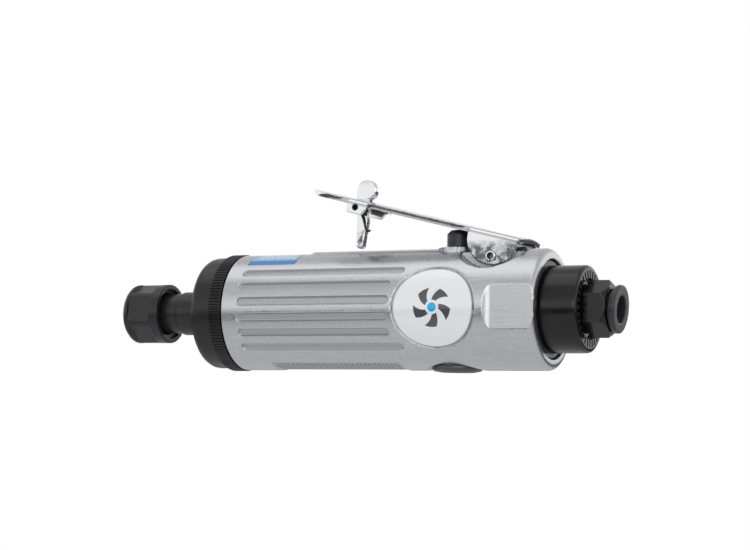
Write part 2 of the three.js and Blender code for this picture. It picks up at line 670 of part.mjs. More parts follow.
// A side plate of the lever at both edges.
function bothEdges(shape) {
  const cheek = plate(shape, -EDGE, -EDGE + LEVER_SHEET, 14);
  return [cheek, cheek.scale([1, -1, 1])];
}

function throttleLever() {
  const top = LEVER_TOP_Z - LEVER_CROWN - 0.4;
  const ear = new THREE.Shape();
  ear.moveTo(EAR_CENTRE.x + EAR_RADIUS, top);
  ear.lineTo(EAR_CENTRE.x - EAR_RADIUS, top);
  ear.lineTo(EAR_CENTRE.x - EAR_RADIUS, EAR_CENTRE.z);
  ear.absarc(EAR_CENTRE.x, EAR_CENTRE.z, EAR_RADIUS, Math.PI, 2 * Math.PI, false);
  ear.closePath();
  const { x, z } = LATCH_PIVOT;
  const latchEar = new THREE.Shape();
  latchEar.moveTo(x - 2.9, top);
  latchEar.lineTo(x - 2.9, z - 1.4);
  latchEar.lineTo(x - 2.3, z - 2);
  latchEar.lineTo(x + 2.6, z - 2);
  latchEar.lineTo(x + 3.8, top);
  latchEar.closePath();
  const { halfWidth, windowHalfWidth } = SLOT;
  const slot = block(x + SLOT.front, x + SLOT.rear, -halfWidth, halfWidth, 3, 12);
  const window = block(x - SLOT.window, x + SLOT.window, -windowHalfWidth, windowHalfWidth, 3, 12);
  return without(
    union(leverStrip(), ...bothEdges(ear), ...bothEdges(latchEar)),
    slot, window, across(0, 0, -10, 10, 1.8), across(x, z, -10, 10, 1.25, 16),
  );
}

// A hollow roll pin along Y.
function rollPin(x, z, halfLength, radius, bore) {
  const tube = across(x, z, -halfLength, halfLength, radius, 16);
  return tube.subtract(across(x, z, -halfLength - 1, halfLength + 1, bore, 12));
}

// The latch's frame stands upright, so it turns the lever's slope back.
const latch = new THREE.Group();
latch.position.set(LATCH_PIVOT.x, 0, LATCH_PIVOT.z);
latch.rotation.y = -LEVER_SLOPE;
lever.add(latch);

const LATCH_SHEET = 0.7;
const FOOT = { x: -1.55, z: -11.15, radius: 1.3 };
const THUMB = { x: 0.55, z: 6.1, radius: 3.35 };

// The latch's side outline, shrunk by an inset: a leg with a round foot, a neck, and a round thumb tab.
function latchOutline(inset) {
  const outline = new THREE.Shape();
  const foot = FOOT.radius - inset;
  const thumb = THUMB.radius - inset;
  outline.moveTo(-2.85 + inset, FOOT.z);
  outline.absarc(FOOT.x, FOOT.z, foot, Math.PI, 2 * Math.PI, false);
  outline.lineTo(1.3 - inset, -1.5);
  outline.lineTo(1.7 - inset, 2.9);
  outline.absarc(THUMB.x, THUMB.z, thumb, -0.35 * Math.PI, Math.PI, false);
  outline.lineTo(-2.8 + inset, THUMB.z);
  outline.closePath();
  return outline;
}

// A folded channel, open towards the front, with a boss around its pin.
function latchBody() {
  const outer = plate(latchOutline(0), -LATCH_HALF_WIDTH, LATCH_HALF_WIDTH);
  const inside = LATCH_HALF_WIDTH - LATCH_SHEET;
  const hollow = plate(latchOutline(LATCH_SHEET), -inside, inside);
  const mouth = block(-4, -1.6, -inside, inside, FOOT.z, THUMB.z - 1);
  const hub = across(0, 0, -inside - 0.2, inside + 0.2, 1.9, 16);
  const footHole = across(FOOT.x, FOOT.z + 0.2, -3, 3, 0.55, 10);
  const pinHole = across(0, 0, -3, 3, 1.2, 16);
  return without(without(outer, hollow, mouth).add(hub), pinHole, footHole);
}

// A torsion spring: coils beside the latch on its pin, and a leg that hooks round the latch's rear edge.
function latchSpring() {
  const coil = 1.55;
  const wireRadius = 0.35;
  const turns = 2.25;
  const pitch = 0.85;
  const start = -LATCH_HALF_WIDTH - 0.5;
  const points = [];
  const steps = Math.round(turns * 10);
  for (let i = 0; i <= steps; i++) {
    const angle = half + (2 * Math.PI * turns * i) / steps;
    const y = start - pitch * turns + (pitch * turns * i) / steps;
    points.push(new THREE.Vector3(coil * Math.cos(angle), y, coil * Math.sin(angle)));
  }
  points.push(
    new THREE.Vector3(-0.4, start, -1.9),
    new THREE.Vector3(0.45, start, -5.2),
    new THREE.Vector3(0.9, start + 0.1, -6.6),
    new THREE.Vector3(1.35, start + 0.7, -6.9),
    new THREE.Vector3(1.4, start + 1.6, -6.6),
  );
  return wire(new THREE.CatmullRomCurve3(points, false, "centripetal"), wireRadius, 40, 4);
}

part("throttle_lever", throttleLever(), CHROME, lever);
part("latch_pin", rollPin(LATCH_PIVOT.x, LATCH_PIVOT.z, EDGE + 0.1, 1.05, 0.6), BLACK_OXIDE, lever);
part("latch", latchBody(), CHROME, latch);
part("latch_spring", latchSpring(), BLACK_OXIDE, latch);
part("lever_pin", rollPin(PIVOT.x, PIVOT.z, EDGE + 0.4, 1.65, 0.95), STEEL);

// ---------------------------------------------------------------- exhaust and air inlet
const SLOT_COUNT = 30;
const TEETH_RADIUS = 9.2; // inner ends of the teeth between the slots

function exhaustCap() {
  const round = 1.2;
  const wall = 1.5;
  const front = -21.5;
  const flange = 15;
  const profile = [
    [front, flange - 2.4], [front, flange], [front + 2, flange], [front + 2, EXHAUST_RADIUS],
  ];
  for (let i = 0; i <= 3; i++) {
    const angle = (half * i) / 3;
    const x = EXHAUST_REAR_X - round + round * Math.sin(angle);
    profile.push([x, EXHAUST_RADIUS - round + round * Math.cos(angle)]);
  }
  profile.push(
    [EXHAUST_REAR_X, TEETH_RADIUS], [EXHAUST_REAR_X - 1.3, TEETH_RADIUS],
    [EXHAUST_REAR_X - 1.3, INLET_HOLE_RADIUS], [EXHAUST_REAR_X - 2.4, INLET_HOLE_RADIUS],
    [EXHAUST_REAR_X - 2.4, EXHAUST_RADIUS - wall], [front + 2, EXHAUST_RADIUS - wall], [front, flange - 2.4],
  );
  const slots = Array.from({ length: SLOT_COUNT }, (_, i) =>
    block(EXHAUST_REAR_X - 3, EXHAUST_REAR_X + 1, -0.5, 0.5, TEETH_RADIUS - 0.2, 11.6)
      .rotate([(360 * (i + 0.5)) / SLOT_COUNT, 0, 0]),
  );
  return without(turned(profile, 32), ...slots);
}

function inletBush() {
  const shank = INLET_HOLE_RADIUS - 0.3;
  const hexFront = EXHAUST_REAR_X + GAP;
  const corner = INLET_HEX_FLATS / Math.sqrt(3);
  const hex = hexPrism(hexFront, INLET_REAR_X, INLET_HEX_FLATS);
  const crown = turned([
    [hexFront - 1, 0], [hexFront - 1, corner + 1], [INLET_REAR_X - 1.1, corner + 0.3],
    [INLET_REAR_X, corner - 1.4], [INLET_REAR_X, 0],
  ], 24);
  const body = union(hex.intersect(crown), rod(-37, hexFront + 1, shank));
  return without(body, rod(-40, 1, 4.6, 24), rod(-13, 1, 5.8, 24));
}

// A strainer cup in the air passage behind the bush.
function inletScreen() {
  const front = -42.5;
  const cup = turned([
    [front, 0], [front, 5.4], [-38, 5.4], [-38, 4.9], [front + 0.6, 4.9], [front + 0.6, 0],
  ], 20);
  const holes = Array.from({ length: 6 }, (_, i) =>
    rod(front - 1, front + 2, 1, 8).translate([0, 3, 0]).rotate([60 * i, 0, 0]),
  );
  return without(cup, rod(front - 1, front + 2, 1, 8), ...holes);
}

// The hollow plug that keeps the inlet thread clean sits a little askew.
function threadProtector() {
  const bore = 4.15;
  const body = turned([
    [-4, bore], [-4, 4.9], [1.0, 4.9], [1.0, 7.3], [2.4, 7.3], [2.8, 6.9], [2.8, bore], [-4, bore],
  ], 24);
  return body.rotate([0, 5, 0]);
}

part("exhaust_cap", exhaustCap(), BLACK_OXIDE);
part("cap_gasket", ring(-23.6, -21.8, 12.6, 14.9), RUBBER);
part("muffler", ring(-25, EXHAUST_REAR_X - 2.8, INLET_HOLE_RADIUS + 0.2, 11.4), FELT);
part("inlet_bush", inletBush(), BLACK_OXIDE);
part("inlet_screen", inletScreen(), BRASS);
part("thread_protector", threadProtector(), BLACK_PLASTIC);

export default grinder;
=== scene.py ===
# Straight air die grinder with a safety-latched throttle lever: the visual model, built round the CAD frame.
# Shapes are worked out in millimetres along the frame's axes, +X from the collet to the air inlet and +Z up
# through the lever, and become metres when a mesh is made.
import math

import bmesh
import bpy
import numpy as np
from mathutils import Matrix, Vector


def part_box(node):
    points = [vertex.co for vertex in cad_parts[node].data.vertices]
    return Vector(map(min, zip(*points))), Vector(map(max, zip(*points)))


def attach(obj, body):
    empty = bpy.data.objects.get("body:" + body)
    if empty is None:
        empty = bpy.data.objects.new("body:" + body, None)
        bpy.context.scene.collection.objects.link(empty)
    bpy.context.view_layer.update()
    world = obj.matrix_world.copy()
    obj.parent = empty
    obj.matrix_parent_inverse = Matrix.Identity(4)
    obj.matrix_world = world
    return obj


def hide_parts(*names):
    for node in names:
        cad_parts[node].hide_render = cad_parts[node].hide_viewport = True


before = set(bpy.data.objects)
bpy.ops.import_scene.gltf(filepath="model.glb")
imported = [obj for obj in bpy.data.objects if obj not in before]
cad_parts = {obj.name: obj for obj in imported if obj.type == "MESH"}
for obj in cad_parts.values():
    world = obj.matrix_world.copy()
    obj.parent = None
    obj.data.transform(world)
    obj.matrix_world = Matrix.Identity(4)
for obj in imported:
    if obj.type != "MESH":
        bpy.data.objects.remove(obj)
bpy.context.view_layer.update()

MM = 0.001
TURN = 2 * math.pi


def span(node):
    """The lowest and highest corners of a CAD node, in millimetres."""
    low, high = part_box(node)
    return np.array(low) / MM, np.array(high) / MM


# ------------------------------------------------------------------ driving dimensions, in millimetres
BODY_LOW, BODY_HIGH = span("housing")
BODY_FRONT, BODY_REAR = BODY_LOW[0], BODY_HIGH[0]
BODY_RADIUS = BODY_HIGH[1]
CAP_RADIUS = span("front_cap")[1][1]
NUT_FRONT, NUT_REAR = span("collet_nut")[0][0], span("collet_nut")[1][0]
NUT_RADIUS = 9.7
SPINDLE_RADIUS = 7.1
VALVE_X = -50.0
PIVOT = np.array([-36.2, 0.0, 16.0])
LEVER_SLOPE = math.radians(13.9)
LATCH_PIVOT = np.array([-48.6, 0.0, 4.9])  # in the lever's own frame

GROOVE_ANGLES = (7.85, 23.5, 39.3)
GROOVE_REARS = (-65.6, -65.6, -61.9)
GROOVE_FRONT = -118.6
GROOVE_WIDTH, GROOVE_DEPTH = 2.8, 0.9
BADGE_X = -51.0
BADGE_RADIUS, BADGE_RECESS, BADGE_DEPTH = 13.0, 13.8, 0.75
LABEL = {"front": -118.3, "rear": -101.8, "half_angle": 38, "depth": 0.5}
PLATE = {"front": -110.7, "rear": -65.8, "half_angle": 27, "depth": 0.5}
PANEL_MARGIN = 0.25
PAD = {"front": -101.3, "rear": -23.7, "half_width": 3.6, "top": 18.95, "step": 1.45, "run_in": 3}
BOSS = {"radius": 6.2, "top": 19.3, "hole": 4.95, "floor": 15}
SCOOP = {"x": -35.9, "z": 25.2, "radius": 13.2, "wall": 6.5}
FLAT = {"front": -32.3, "half_width": 17.3, "run_out": 2.9}
REGULATOR = {
    "radius": 7.9, "well": 8.2, "mouth": 11.2, "well_z": 17.2, "mouth_z": 20.0, "face_z": -19.2, "floor": 16.9,
}


def place_object(name, data):
    """A new object in the scene that holds the given data."""
    made = bpy.data.objects.new(name, data)
    bpy.context.scene.collection.objects.link(made)
    return made


# ------------------------------------------------------------------ camera, light and floor
SENSOR_WIDTH = 36  # mm
NEAREST_SEEN = 0.01  # metres, as are the lights' and the floor's sizes
FLOOR = {"x": -0.08, "z": -0.25, "radius": 1.0}
TOOL_MIDDLE = (-0.08, 0, 0)
CAMERA = {
    "azimuth": 25.3, "elevation": -4.4, "roll": -0.91, "distance": 620.0, "lens": 94.5,
    "aim_x": -74.0, "aim_right": -4.3, "aim_up": 11.4,
}


def add_camera():
    azimuth, elevation, roll = (math.radians(CAMERA[k]) for k in ("azimuth", "elevation", "roll"))
    level = math.cos(elevation)
    back = Vector((math.sin(azimuth) * level, -math.cos(azimuth) * level, math.sin(elevation)))
    right = Vector((math.cos(azimuth), math.sin(azimuth), 0))
    up = back.cross(right)
    aim = Vector((CAMERA["aim_x"], 0, 0)) + CAMERA["aim_right"] * right + CAMERA["aim_up"] * up
    place = (aim + CAMERA["distance"] * back) * MM
    turned_right = math.cos(roll) * right - math.sin(roll) * up
    turned_up = math.sin(roll) * right + math.cos(roll) * up
    data = bpy.data.cameras.new("camera")
    data.lens = CAMERA["lens"]
    data.sensor_width = SENSOR_WIDTH
    data.clip_start = NEAREST_SEEN
    camera = place_object("camera", data)
    rotation = Matrix((turned_right, turned_up, back)).transposed().to_4x4()
    camera.matrix_world = Matrix.Translation(place) @ rotation
    bpy.context.scene.camera = camera


def add_light(name, place, size, power):
    data = bpy.data.lights.new(name, "AREA")
    data.shape = "RECTANGLE"
    data.size, data.size_y = size
    data.energy = power
    light = place_object(name, data)
    light.location = place
    direction = Vector(place) - Vector(TOOL_MIDDLE)
    light.rotation_euler = direction.to_track_quat("Z", "Y").to_euler()
    light.visible_camera = False


# the room's brightness by height: straight down is 0, eye level 0.5 and straight up 1
ROOM_GLOW = (
    (0.0, 0.26), (0.36, 0.26), (0.40, 0.08), (0.495, 0.08), (0.51, 1.14), (0.60, 1.14), (0.72, 0.70),
    (1.0, 0.50),
)


def add_world():
    """White to the camera; on the object, a bright band at eye level between a dimmer ceiling and floor."""
    world = bpy.data.worlds.new("studio")
    world.use_nodes = True
    bpy.context.scene.world = world
    make, link = world.node_tree.nodes.new, world.node_tree.links.new
    world.node_tree.nodes.clear()
    output = make("ShaderNodeOutputWorld")
    direction = make("ShaderNodeTexCoord")
    axes = make("ShaderNodeSeparateXYZ")
    height = make("ShaderNodeMapRange")
    height.inputs["From Min"].default_value = -1
    glow = make("ShaderNodeValToRGB")
    stops = glow.color_ramp.elements
    while len(stops) < len(ROOM_GLOW):
        stops.new(0.5)
    for stop, (place, level) in zip(stops, ROOM_GLOW):
        stop.position = place
        stop.color = (level, level, level, 1)
    room = make("ShaderNodeBackground")
    backdrop = make("ShaderNodeBackground")
    backdrop.inputs["Color"].default_value = (1, 1, 1, 1)
    sight = make("ShaderNodeLightPath")
    mix = make("ShaderNodeMixShader")
    link(direction.outputs["Generated"], axes.inputs[0])
    link(axes.outputs["Z"], height.inputs["Value"])
    link(height.outputs["Result"], glow.inputs["Fac"])
    link(glow.outputs["Color"], room.inputs["Color"])
    link(sight.outputs["Is Camera Ray"], mix.inputs["Fac"])
    link(room.outputs["Background"], mix.inputs[1])
    link(backdrop.outputs["Background"], mix.inputs[2])
    link(mix.outputs["Shader"], output.inputs["Surface"])


def add_floor():
    """A plain pale floor, well below the tool, which hangs on its air line."""
    bm = bmesh.new()
    bmesh.ops.create_circle(bm, cap_ends=True, segments=96, radius=FLOOR["radius"])
    mesh = bpy.data.meshes.new("floor")
    bm.to_mesh(mesh)
    bm.free()
    floor = place_object("floor", mesh)
    floor.location = (FLOOR["x"], 0, FLOOR["z"])
    finish = Finish("pale_floor", (0.80, 0.80, 0.81), 0.7)
    finish.tint(finish.noise(20, 2), 0.03)
    floor.data.materials.append(finish.material)


# ------------------------------------------------------------------ materials
class Finish:
    """A Principled material with a few procedural layers, all in object space and in metres."""

    def __init__(self, name, colour, roughness, metallic=0.0, specular=0.5, coat=0.0):
        self.material = bpy.data.materials.new(name)
        self.material.use_nodes = True
        self.nodes = self.material.node_tree.nodes
        self.shader = self.nodes["Principled BSDF"]
        inputs = self.shader.inputs
        inputs["Base Color"].default_value = (*colour, 1)
        inputs["Roughness"].default_value = roughness
        inputs["Metallic"].default_value = metallic
        inputs["Specular IOR Level"].default_value = specular
        inputs["Coat Weight"].default_value = coat
        self.colour, self.roughness = colour, roughness
        self.place = self.nodes.new("ShaderNodeTexCoord").outputs["Object"]

    def link(self, a, b):
        self.material.node_tree.links.new(a, b)

    def put(self, value, socket):
        """Sets a socket to a number or colour, or links it to another socket."""
        if isinstance(value, tuple):
            socket.default_value = (*value, 1)
        elif isinstance(value, (int, float)):
            socket.default_value = value
        else:
            self.link(value, socket)

    def math(self, operation, *values):
        node = self.nodes.new("ShaderNodeMath")
        node.operation = operation
        for socket, value in zip(node.inputs, values):
            self.put(value, socket)
        return node.outputs[0]

    def product(self, first, *others):
        for other in others:
            first = self.math("MULTIPLY", first, other)
        return first

    def blend(self, a, share_a, b, share_b):
        return self.math("ADD", self.product(a, share_a), self.product(b, share_b))

    def below(self, value, limit):
        return self.math("LESS_THAN", value, limit)

    def above(self, value, limit):
        return self.math("GREATER_THAN", value, limit)

    def stripes(self, value, share):
        """1 over the given share of each unit of value, 0 over the rest."""
        return self.below(self.math("FRACT", value), share)

    def noise(self, scale, detail=3, stretch=None):
        """Noise from 0 to 1; stretch gives each axis its own scale."""
        node = self.nodes.new("ShaderNodeTexNoise")
        node.inputs["Scale"].default_value = scale
        node.inputs["Detail"].default_value = detail
        place = self.place
        if stretch:
            mapping = self.nodes.new("ShaderNodeMapping")
            mapping.inputs["Scale"].default_value = stretch
            self.link(place, mapping.inputs["Vector"])
            place = mapping.outputs["Vector"]
        self.link(place, node.inputs["Vector"])
        return node.outputs["Fac"]

    def attribute(self, name):
        node = self.nodes.new("ShaderNodeAttribute")
        node.attribute_name = name
        return node.outputs["Fac"]

    def axes(self, vector):
        node = self.nodes.new("ShaderNodeSeparateXYZ")
        self.link(vector, node.inputs[0])
        return node.outputs

    def face_axes(self):
        """The two axes of a panel or badge, each from -1 to 1, from its UV map."""
        node = self.nodes.new("ShaderNodeUVMap")
        node.uv_map = "face"
        found = self.axes(node.outputs["UV"])
        return found["X"], found["Y"]

    def between(self, value, low, high, to_low=0.0, to_high=1.0):
        node = self.nodes.new("ShaderNodeMapRange")
        limits = {"From Min": low, "From Max": high, "To Min": to_low, "To Max": to_high}
        for name, number in limits.items():
            node.inputs[name].default_value = number
        self.link(value, node.inputs["Value"])
        return node.outputs["Result"]

    def mix_colour(self, factor, a, b):
        node = self.nodes.new("ShaderNodeMix")
        node.data_type = "RGBA"
        self.link(factor, node.inputs["Factor"])
        colours = [socket for socket in node.inputs if socket.type == "RGBA"]
        for socket, value in zip(colours, (a, b)):
            self.put(value, socket)
        return [socket for socket in node.outputs if socket.type == "RGBA"][0]

    def shades(self, factor, dark, light):
        """From dark to light over the middle of a noise's range."""
        return self.mix_colour(self.between(factor, 0.3, 0.7), dark, light)

    def paint(self, colour):
        self.link(colour, self.shader.inputs["Base Color"])

    def tint(self, factor, amount):
        """Varies the colour a little, lighter and darker, by a factor from 0 to 1."""
        dark = tuple(c * (1 - amount) for c in self.colour)
        light = tuple(min(c * (1 + amount), 1) for c in self.colour)
        self.paint(self.mix_colour(self.between(factor, 0.25, 0.75), dark, light))

    def gloss(self, factor, amount):
        """Varies the roughness about its own value by a factor from 0 to 1."""
        low, high = max(self.roughness - amount, 0.04), min(self.roughness + amount, 1)
        self.link(self.between(factor, 0.3, 0.7, low, high), self.shader.inputs["Roughness"])

    def bump(self, *layers):
        """Each layer is (height from 0 to 1, depth in metres)."""
        normal = None
        for height, depth in layers:
            node = self.nodes.new("ShaderNodeBump")
            node.inputs["Distance"].default_value = depth
            self.link(height, node.inputs["Height"])
            if normal is not None:
                self.link(normal, node.inputs["Normal"])
            normal = node.outputs["Normal"]
        self.link(normal, self.shader.inputs["Normal"])


def cast_aluminium():
    """Polished lengthwise on the raised surfaces; the sunken ones keep a rougher blasted skin and are painted
    darker, as painted shade in the recesses.
    """
    f = Finish("satin_aluminium", (0.60, 0.61, 0.635), 0.30, 1.0)
    sunk = f.attribute("sunk")
    streaks = f.noise(1, 4, (90, 2600, 2600))
    mottle = f.noise(900, 4)
    clouds = f.noise(70, 3)
    mixed = f.blend(streaks, 0.55, mottle, 0.45)
    polished = f.between(mixed, 0.3, 0.7, 0.24, 0.36)
    blasted = f.between(mottle, 0.3, 0.7, 0.42, 0.55)
    rough = f.nodes.new("ShaderNodeMix")
    f.link(sunk, rough.inputs["Factor"])
    f.link(polished, rough.inputs["A"])
    f.link(blasted, rough.inputs["B"])
    f.link(rough.outputs["Result"], f.shader.inputs["Roughness"])
    ground = f.shades(mixed, (0.54, 0.55, 0.575), (0.67, 0.68, 0.705))
    ground = f.mix_colour(f.between(clouds, 0.3, 0.75, 0.0, 0.25), ground, (0.52, 0.525, 0.54))
    # painted shade: grooves, recesses, scoop and regulator mouth are darkened by how sunken they are
    f.paint(f.mix_colour(f.product(sunk, 0.75), ground, (0.49, 0.495, 0.515)))
    grain_share = f.between(sunk, 0, 1, 0.4, 1.0)
    f.bump((f.product(mottle, grain_share), 3.5e-5), (streaks, 1.8e-5))
    return f.material


def black_steel(name, base=0.014, roughness=0.34, specular=0.5, turned_marks=True):
    """Black-oxidised steel with fine turning marks round the axis and a slightly worn, uneven skin."""
    f = Finish(name, (base, base, base * 1.15), roughness, specular=specular)
    grain = f.noise(1700, 3)
    marks = f.noise(1, 3, (2600, 40, 40))
    clouds = f.noise(160, 3)
    f.tint(clouds, 0.28)
    f.gloss(f.blend(grain, 0.5, clouds, 0.5), 0.08)
    layers = [(grain, 1.2e-5)]
    if turned_marks:
        layers.append((marks, 0.8e-5))
    f.bump(*layers)
    return f.material


NICKEL = (0.74, 0.75, 0.77)


def plated(name, painted_reflection_heights=None):
    """Bright nickel plate over polished sheet, with a faint orange-peel and drawn lines along the sheet.
    The heights, in metres, are those over which a painted dark reflection, mottled, fades in on the way down
    the outer faces of the side flaps."""
    f = Finish(name, NICKEL, 0.13, 1.0)
    peel = f.noise(420, 3)
    lines = f.noise(1, 3, (60, 3200, 3200))
    haze = f.noise(120, 4)
    if painted_reflection_heights is None:
        f.tint(haze, 0.10)
    else:
        # painted reflection: the outer faces of the side flaps darken, mottled, below the given heights
        axes = f.axes(f.place)
        low = f.between(axes["Z"], *painted_reflection_heights)
        outside = f.between(f.math("ABSOLUTE", axes["Y"]), 0.0072, 0.0080)
        patches = f.between(f.noise(650, 5), 0.40, 0.58)
        patchy = f.math("ADD", f.product(patches, 0.6), 0.3)
        unshaded = f.mix_colour(haze, (0.66, 0.67, 0.69), (0.80, 0.81, 0.83))
        f.paint(f.mix_colour(f.product(low, outside, patchy), unshaded, (0.06, 0.06, 0.065)))
    f.gloss(f.blend(haze, 0.6, lines, 0.4), 0.08)
    f.bump((peel, 6e-5), (lines, 0.8e-5))
    return f.material


def pin_finish(name, base, roughness, metallic):
    """A pin whose bore is painted black, as painted shade in the hole."""
    f = Finish(name, base, roughness, metallic)
    grain = f.noise(1500, 3)
    unshaded = f.shades(grain, tuple(c * 0.9 for c in base), base)
    # painted shade: points in the bore are painted near-black
    f.paint(f.mix_colour(f.attribute("bore"), unshaded, (0.002, 0.002, 0.002)))
    f.gloss(grain, 0.06)
    f.bump((grain, 1e-5))
    return f.material


def steel(name, base=(0.42, 0.425, 0.44), roughness=0.3, along=(2400, 60, 60)):
    """Ground or turned steel; along gives the direction of the tool marks."""
    f = Finish(name, base, roughness, 1.0)
    marks = f.noise(1, 4, along)
    f.tint(f.noise(150, 3), 0.12)
    f.gloss(marks, 0.08)
    f.bump((marks, 0.9e-5))
    return f.material


def moulded(name, colour, roughness):
    """Moulded plastic, rubber or another dull non-metal with a fine even grain."""
    f = Finish(name, colour, roughness)
    grain = f.noise(1500, 3)
    f.tint(f.noise(120, 2), 0.15)
    f.gloss(grain, 0.07)
    f.bump((grain, 1.5e-5))
    return f.material


def laminate():
    """Cloth-reinforced phenolic sheet: a fine square weave under a brown resin."""
    f = Finish("phenolic_laminate", (0.16, 0.075, 0.03), 0.55)
    weave = f.product(f.noise(1, 2, (3000, 300, 300)), f.noise(1, 2, (300, 3000, 3000)))
    f.tint(f.between(weave, 0.1, 0.45), 0.3)
    f.bump((weave, 3e-5))
    return f.material


def felt():
    """Pressed grey felt with loose fibres."""
    f = Finish("grey_felt", (0.15, 0.145, 0.13), 0.95)
    fibres = f.noise(2200, 6)
    f.tint(fibres, 0.35)
    f.bump((fibres, 1.2e-4))
    return f.material


def badge_finish():
    """Domed white resin with a plain five-blade rotor printed in the middle."""
    f = Finish("badge_resin", (0.79, 0.80, 0.84), 0.16, coat=0.6)
    blades, twist, blade_share = 5, 1.25, 0.52
    across, along = f.face_axes()
    radius = f.math("SQRT", f.math("ADD", f.product(across, across), f.product(along, along)))
    angle = f.math("ARCTAN2", along, across)
    twisted = f.math("ADD", f.math("DIVIDE", angle, TURN / blades), f.product(radius, twist))
    ringed = f.product(f.above(radius, 0.17), f.below(radius, 0.47))
    rotor = f.product(f.stripes(twisted, blade_share), ringed)
    haze = f.noise(700, 3)
    white = f.shades(haze, (0.92, 0.935, 0.965), (0.95, 0.96, 0.985))
    printed = f.mix_colour(rotor, white, (0.085, 0.085, 0.095))
    f.paint(f.mix_colour(f.below(radius, 0.11), printed, (0.0, 0.47, 0.90)))
    f.gloss(haze, 0.03)
    f.bump((haze, 0.6e-5))
    return f.material


def label_finish():
    """A blue foil label: a pale field with slanted strokes, over a deeper blue strip along its edges."""
    f = Finish("blue_label", (0.21, 0.38, 0.63), 0.32)
    along, across = f.face_axes()
    around = f.math("ABSOLUTE", across)
    slanted = f.blend(along, 4.5, around, 1.4)
    inside = f.below(f.math("ABSOLUTE", along), 0.80)
    tall = f.product(f.below(around, 0.70), f.above(around, 0.12))
    strokes = f.product(f.stripes(slanted, 0.46), f.product(inside, tall))
    haze = f.noise(800, 3)
    field = f.shades(haze, (0.30, 0.50, 0.74), (0.36, 0.55, 0.79))
    inked = f.mix_colour(strokes, field, (0.86, 0.89, 0.92))
    f.paint(f.mix_colour(f.above(around, 0.80), inked, (0.055, 0.25, 0.60)))
    f.gloss(haze, 0.05)
    f.bump((haze, 1e-5))
    return f.material


def etched_finish():
    """Bare aluminium etched with rows of plain slanted strokes."""
    f = Finish("etched_aluminium", (0.50, 0.50, 0.515), 0.42, 1.0)
    along, around = f.face_axes()
    wobble = f.product(f.noise(450, 2), 0.9)
    strokes = f.stripes(f.math("ADD", f.blend(along, 17, around, 4), wobble), 0.40)
    rows = f.stripes(f.product(around, 5), 0.72)
    inside = f.below(f.math("ABSOLUTE", around), 0.90)
    ends = f.below(f.math("ABSOLUTE", along), 0.955)
    marks = f.product(f.product(strokes, rows), f.product(inside, ends))
    grain = f.noise(1300, 4)
    bare = f.shades(grain, (0.46, 0.46, 0.475), (0.56, 0.56, 0.575))
    f.paint(f.mix_colour(f.product(marks, 0.95), bare, (0.05, 0.05, 0.055)))
    f.link(f.between(marks, 0, 1, 0.36, 0.6), f.shader.inputs["Roughness"])
    f.bump((f.math("SUBTRACT", 1.0, marks), 4e-5), (grain, 1.5e-5))
    return f.material


# ------------------------------------------------------------------ mesh helpers
def evenly(start, end, spacing):
    """Positions from start to end whose gaps follow spacing(position)."""
    fine = np.linspace(start, end, 20001)
    gaps = np.array([spacing(p) for p in (fine[1:] + fine[:-1]) / 2])
    count_so_far = np.concatenate([[0], np.cumsum(np.diff(fine) / gaps)])
    count = max(int(round(count_so_far[-1])), 2)
    return np.interp(np.linspace(0, count_so_far[-1], count + 1), count_so_far, fine)


def circle(count):
    return np.arange(count) * TURN / count


def from_nearest(angle, count):
    """How far each angle is past the nearest of count even divisions of a turn."""
    half = TURN / count / 2
    return (angle + half) % (2 * half) - half


def smooth_min(a, b, blend):
    share = np.clip(0.5 + 0.5 * (b - a) / blend, 0, 1)
    return b + (a - b) * share - blend * share * (1 - share)


def smooth_max(a, b, blend):
    return -smooth_min(-a, -b, blend)


def rise(distance, width):
    """0 below zero, 1 beyond width, smooth between."""
    share = np.clip(distance / width, 0, 1)
    return share * share * (3 - 2 * share)


def rounded(profile, closed=False, steps=4, support=0.12):
    """A profile with its corners rounded. Each point is (along, out) or (along, out, round), and points
    beside each round keep the straight stretches flat under smooth shading."""
    points = [np.array(p[:2], float) for p in profile]
    rounds = [p[2] if len(p) > 2 else 0.15 for p in profile]
    count = len(points)
    result = []
    for i, (point, size) in enumerate(zip(points, rounds)):
        if not closed and i in (0, count - 1):
            result.append(point)
            continue
        before, after = points[i - 1] - point, points[(i + 1) % count] - point
        room = 0.42 * min(np.linalg.norm(before), np.linalg.norm(after))
        reach = min(size, room)
        before, after = before / np.linalg.norm(before), after / np.linalg.norm(after)
        straight = abs(np.dot(before, after)) > 0.999
        if reach < 1e-3 or straight:
            result.append(point)
            continue
        extra = min(support, 0.16 * room / 0.42)
        start, end = point + before * reach, point + after * reach
        result.append(start + before * extra)
        for s in np.linspace(0, 1, steps + 1):
            result.append((1 - s) ** 2 * start + 2 * s * (1 - s) * point + s * s * end)
        result.append(end + after * extra)
    return np.array(result)


def sweep_faces(rings, around, closed_along):
    """Quads between successive rings of points, each ring closed on itself."""
    ring = np.arange(rings if closed_along else rings - 1)[:, None]
    spoke = np.arange(around)[None, :]
    here, there = ring * around, (ring + 1) % rings * around
    beside = (spoke + 1) % around
    corners = np.stack(np.broadcast_arrays(here + spoke, here + beside, there + beside, there + spoke), -1)
    return corners.reshape(-1, 4)


def weld(mesh, unshaded=False):
    """Joins points that lie together; clean also drops empty faces and turns the rest outwards."""
    bm = bmesh.new()
    bm.from_mesh(mesh)
    bmesh.ops.remove_doubles(bm, verts=bm.verts, dist=1e-7)
    if unshaded:
        bmesh.ops.dissolve_degenerate(bm, edges=bm.edges, dist=1e-8)
        bmesh.ops.recalc_face_normals(bm, faces=bm.faces)
    bm.to_mesh(mesh)
    bm.free()


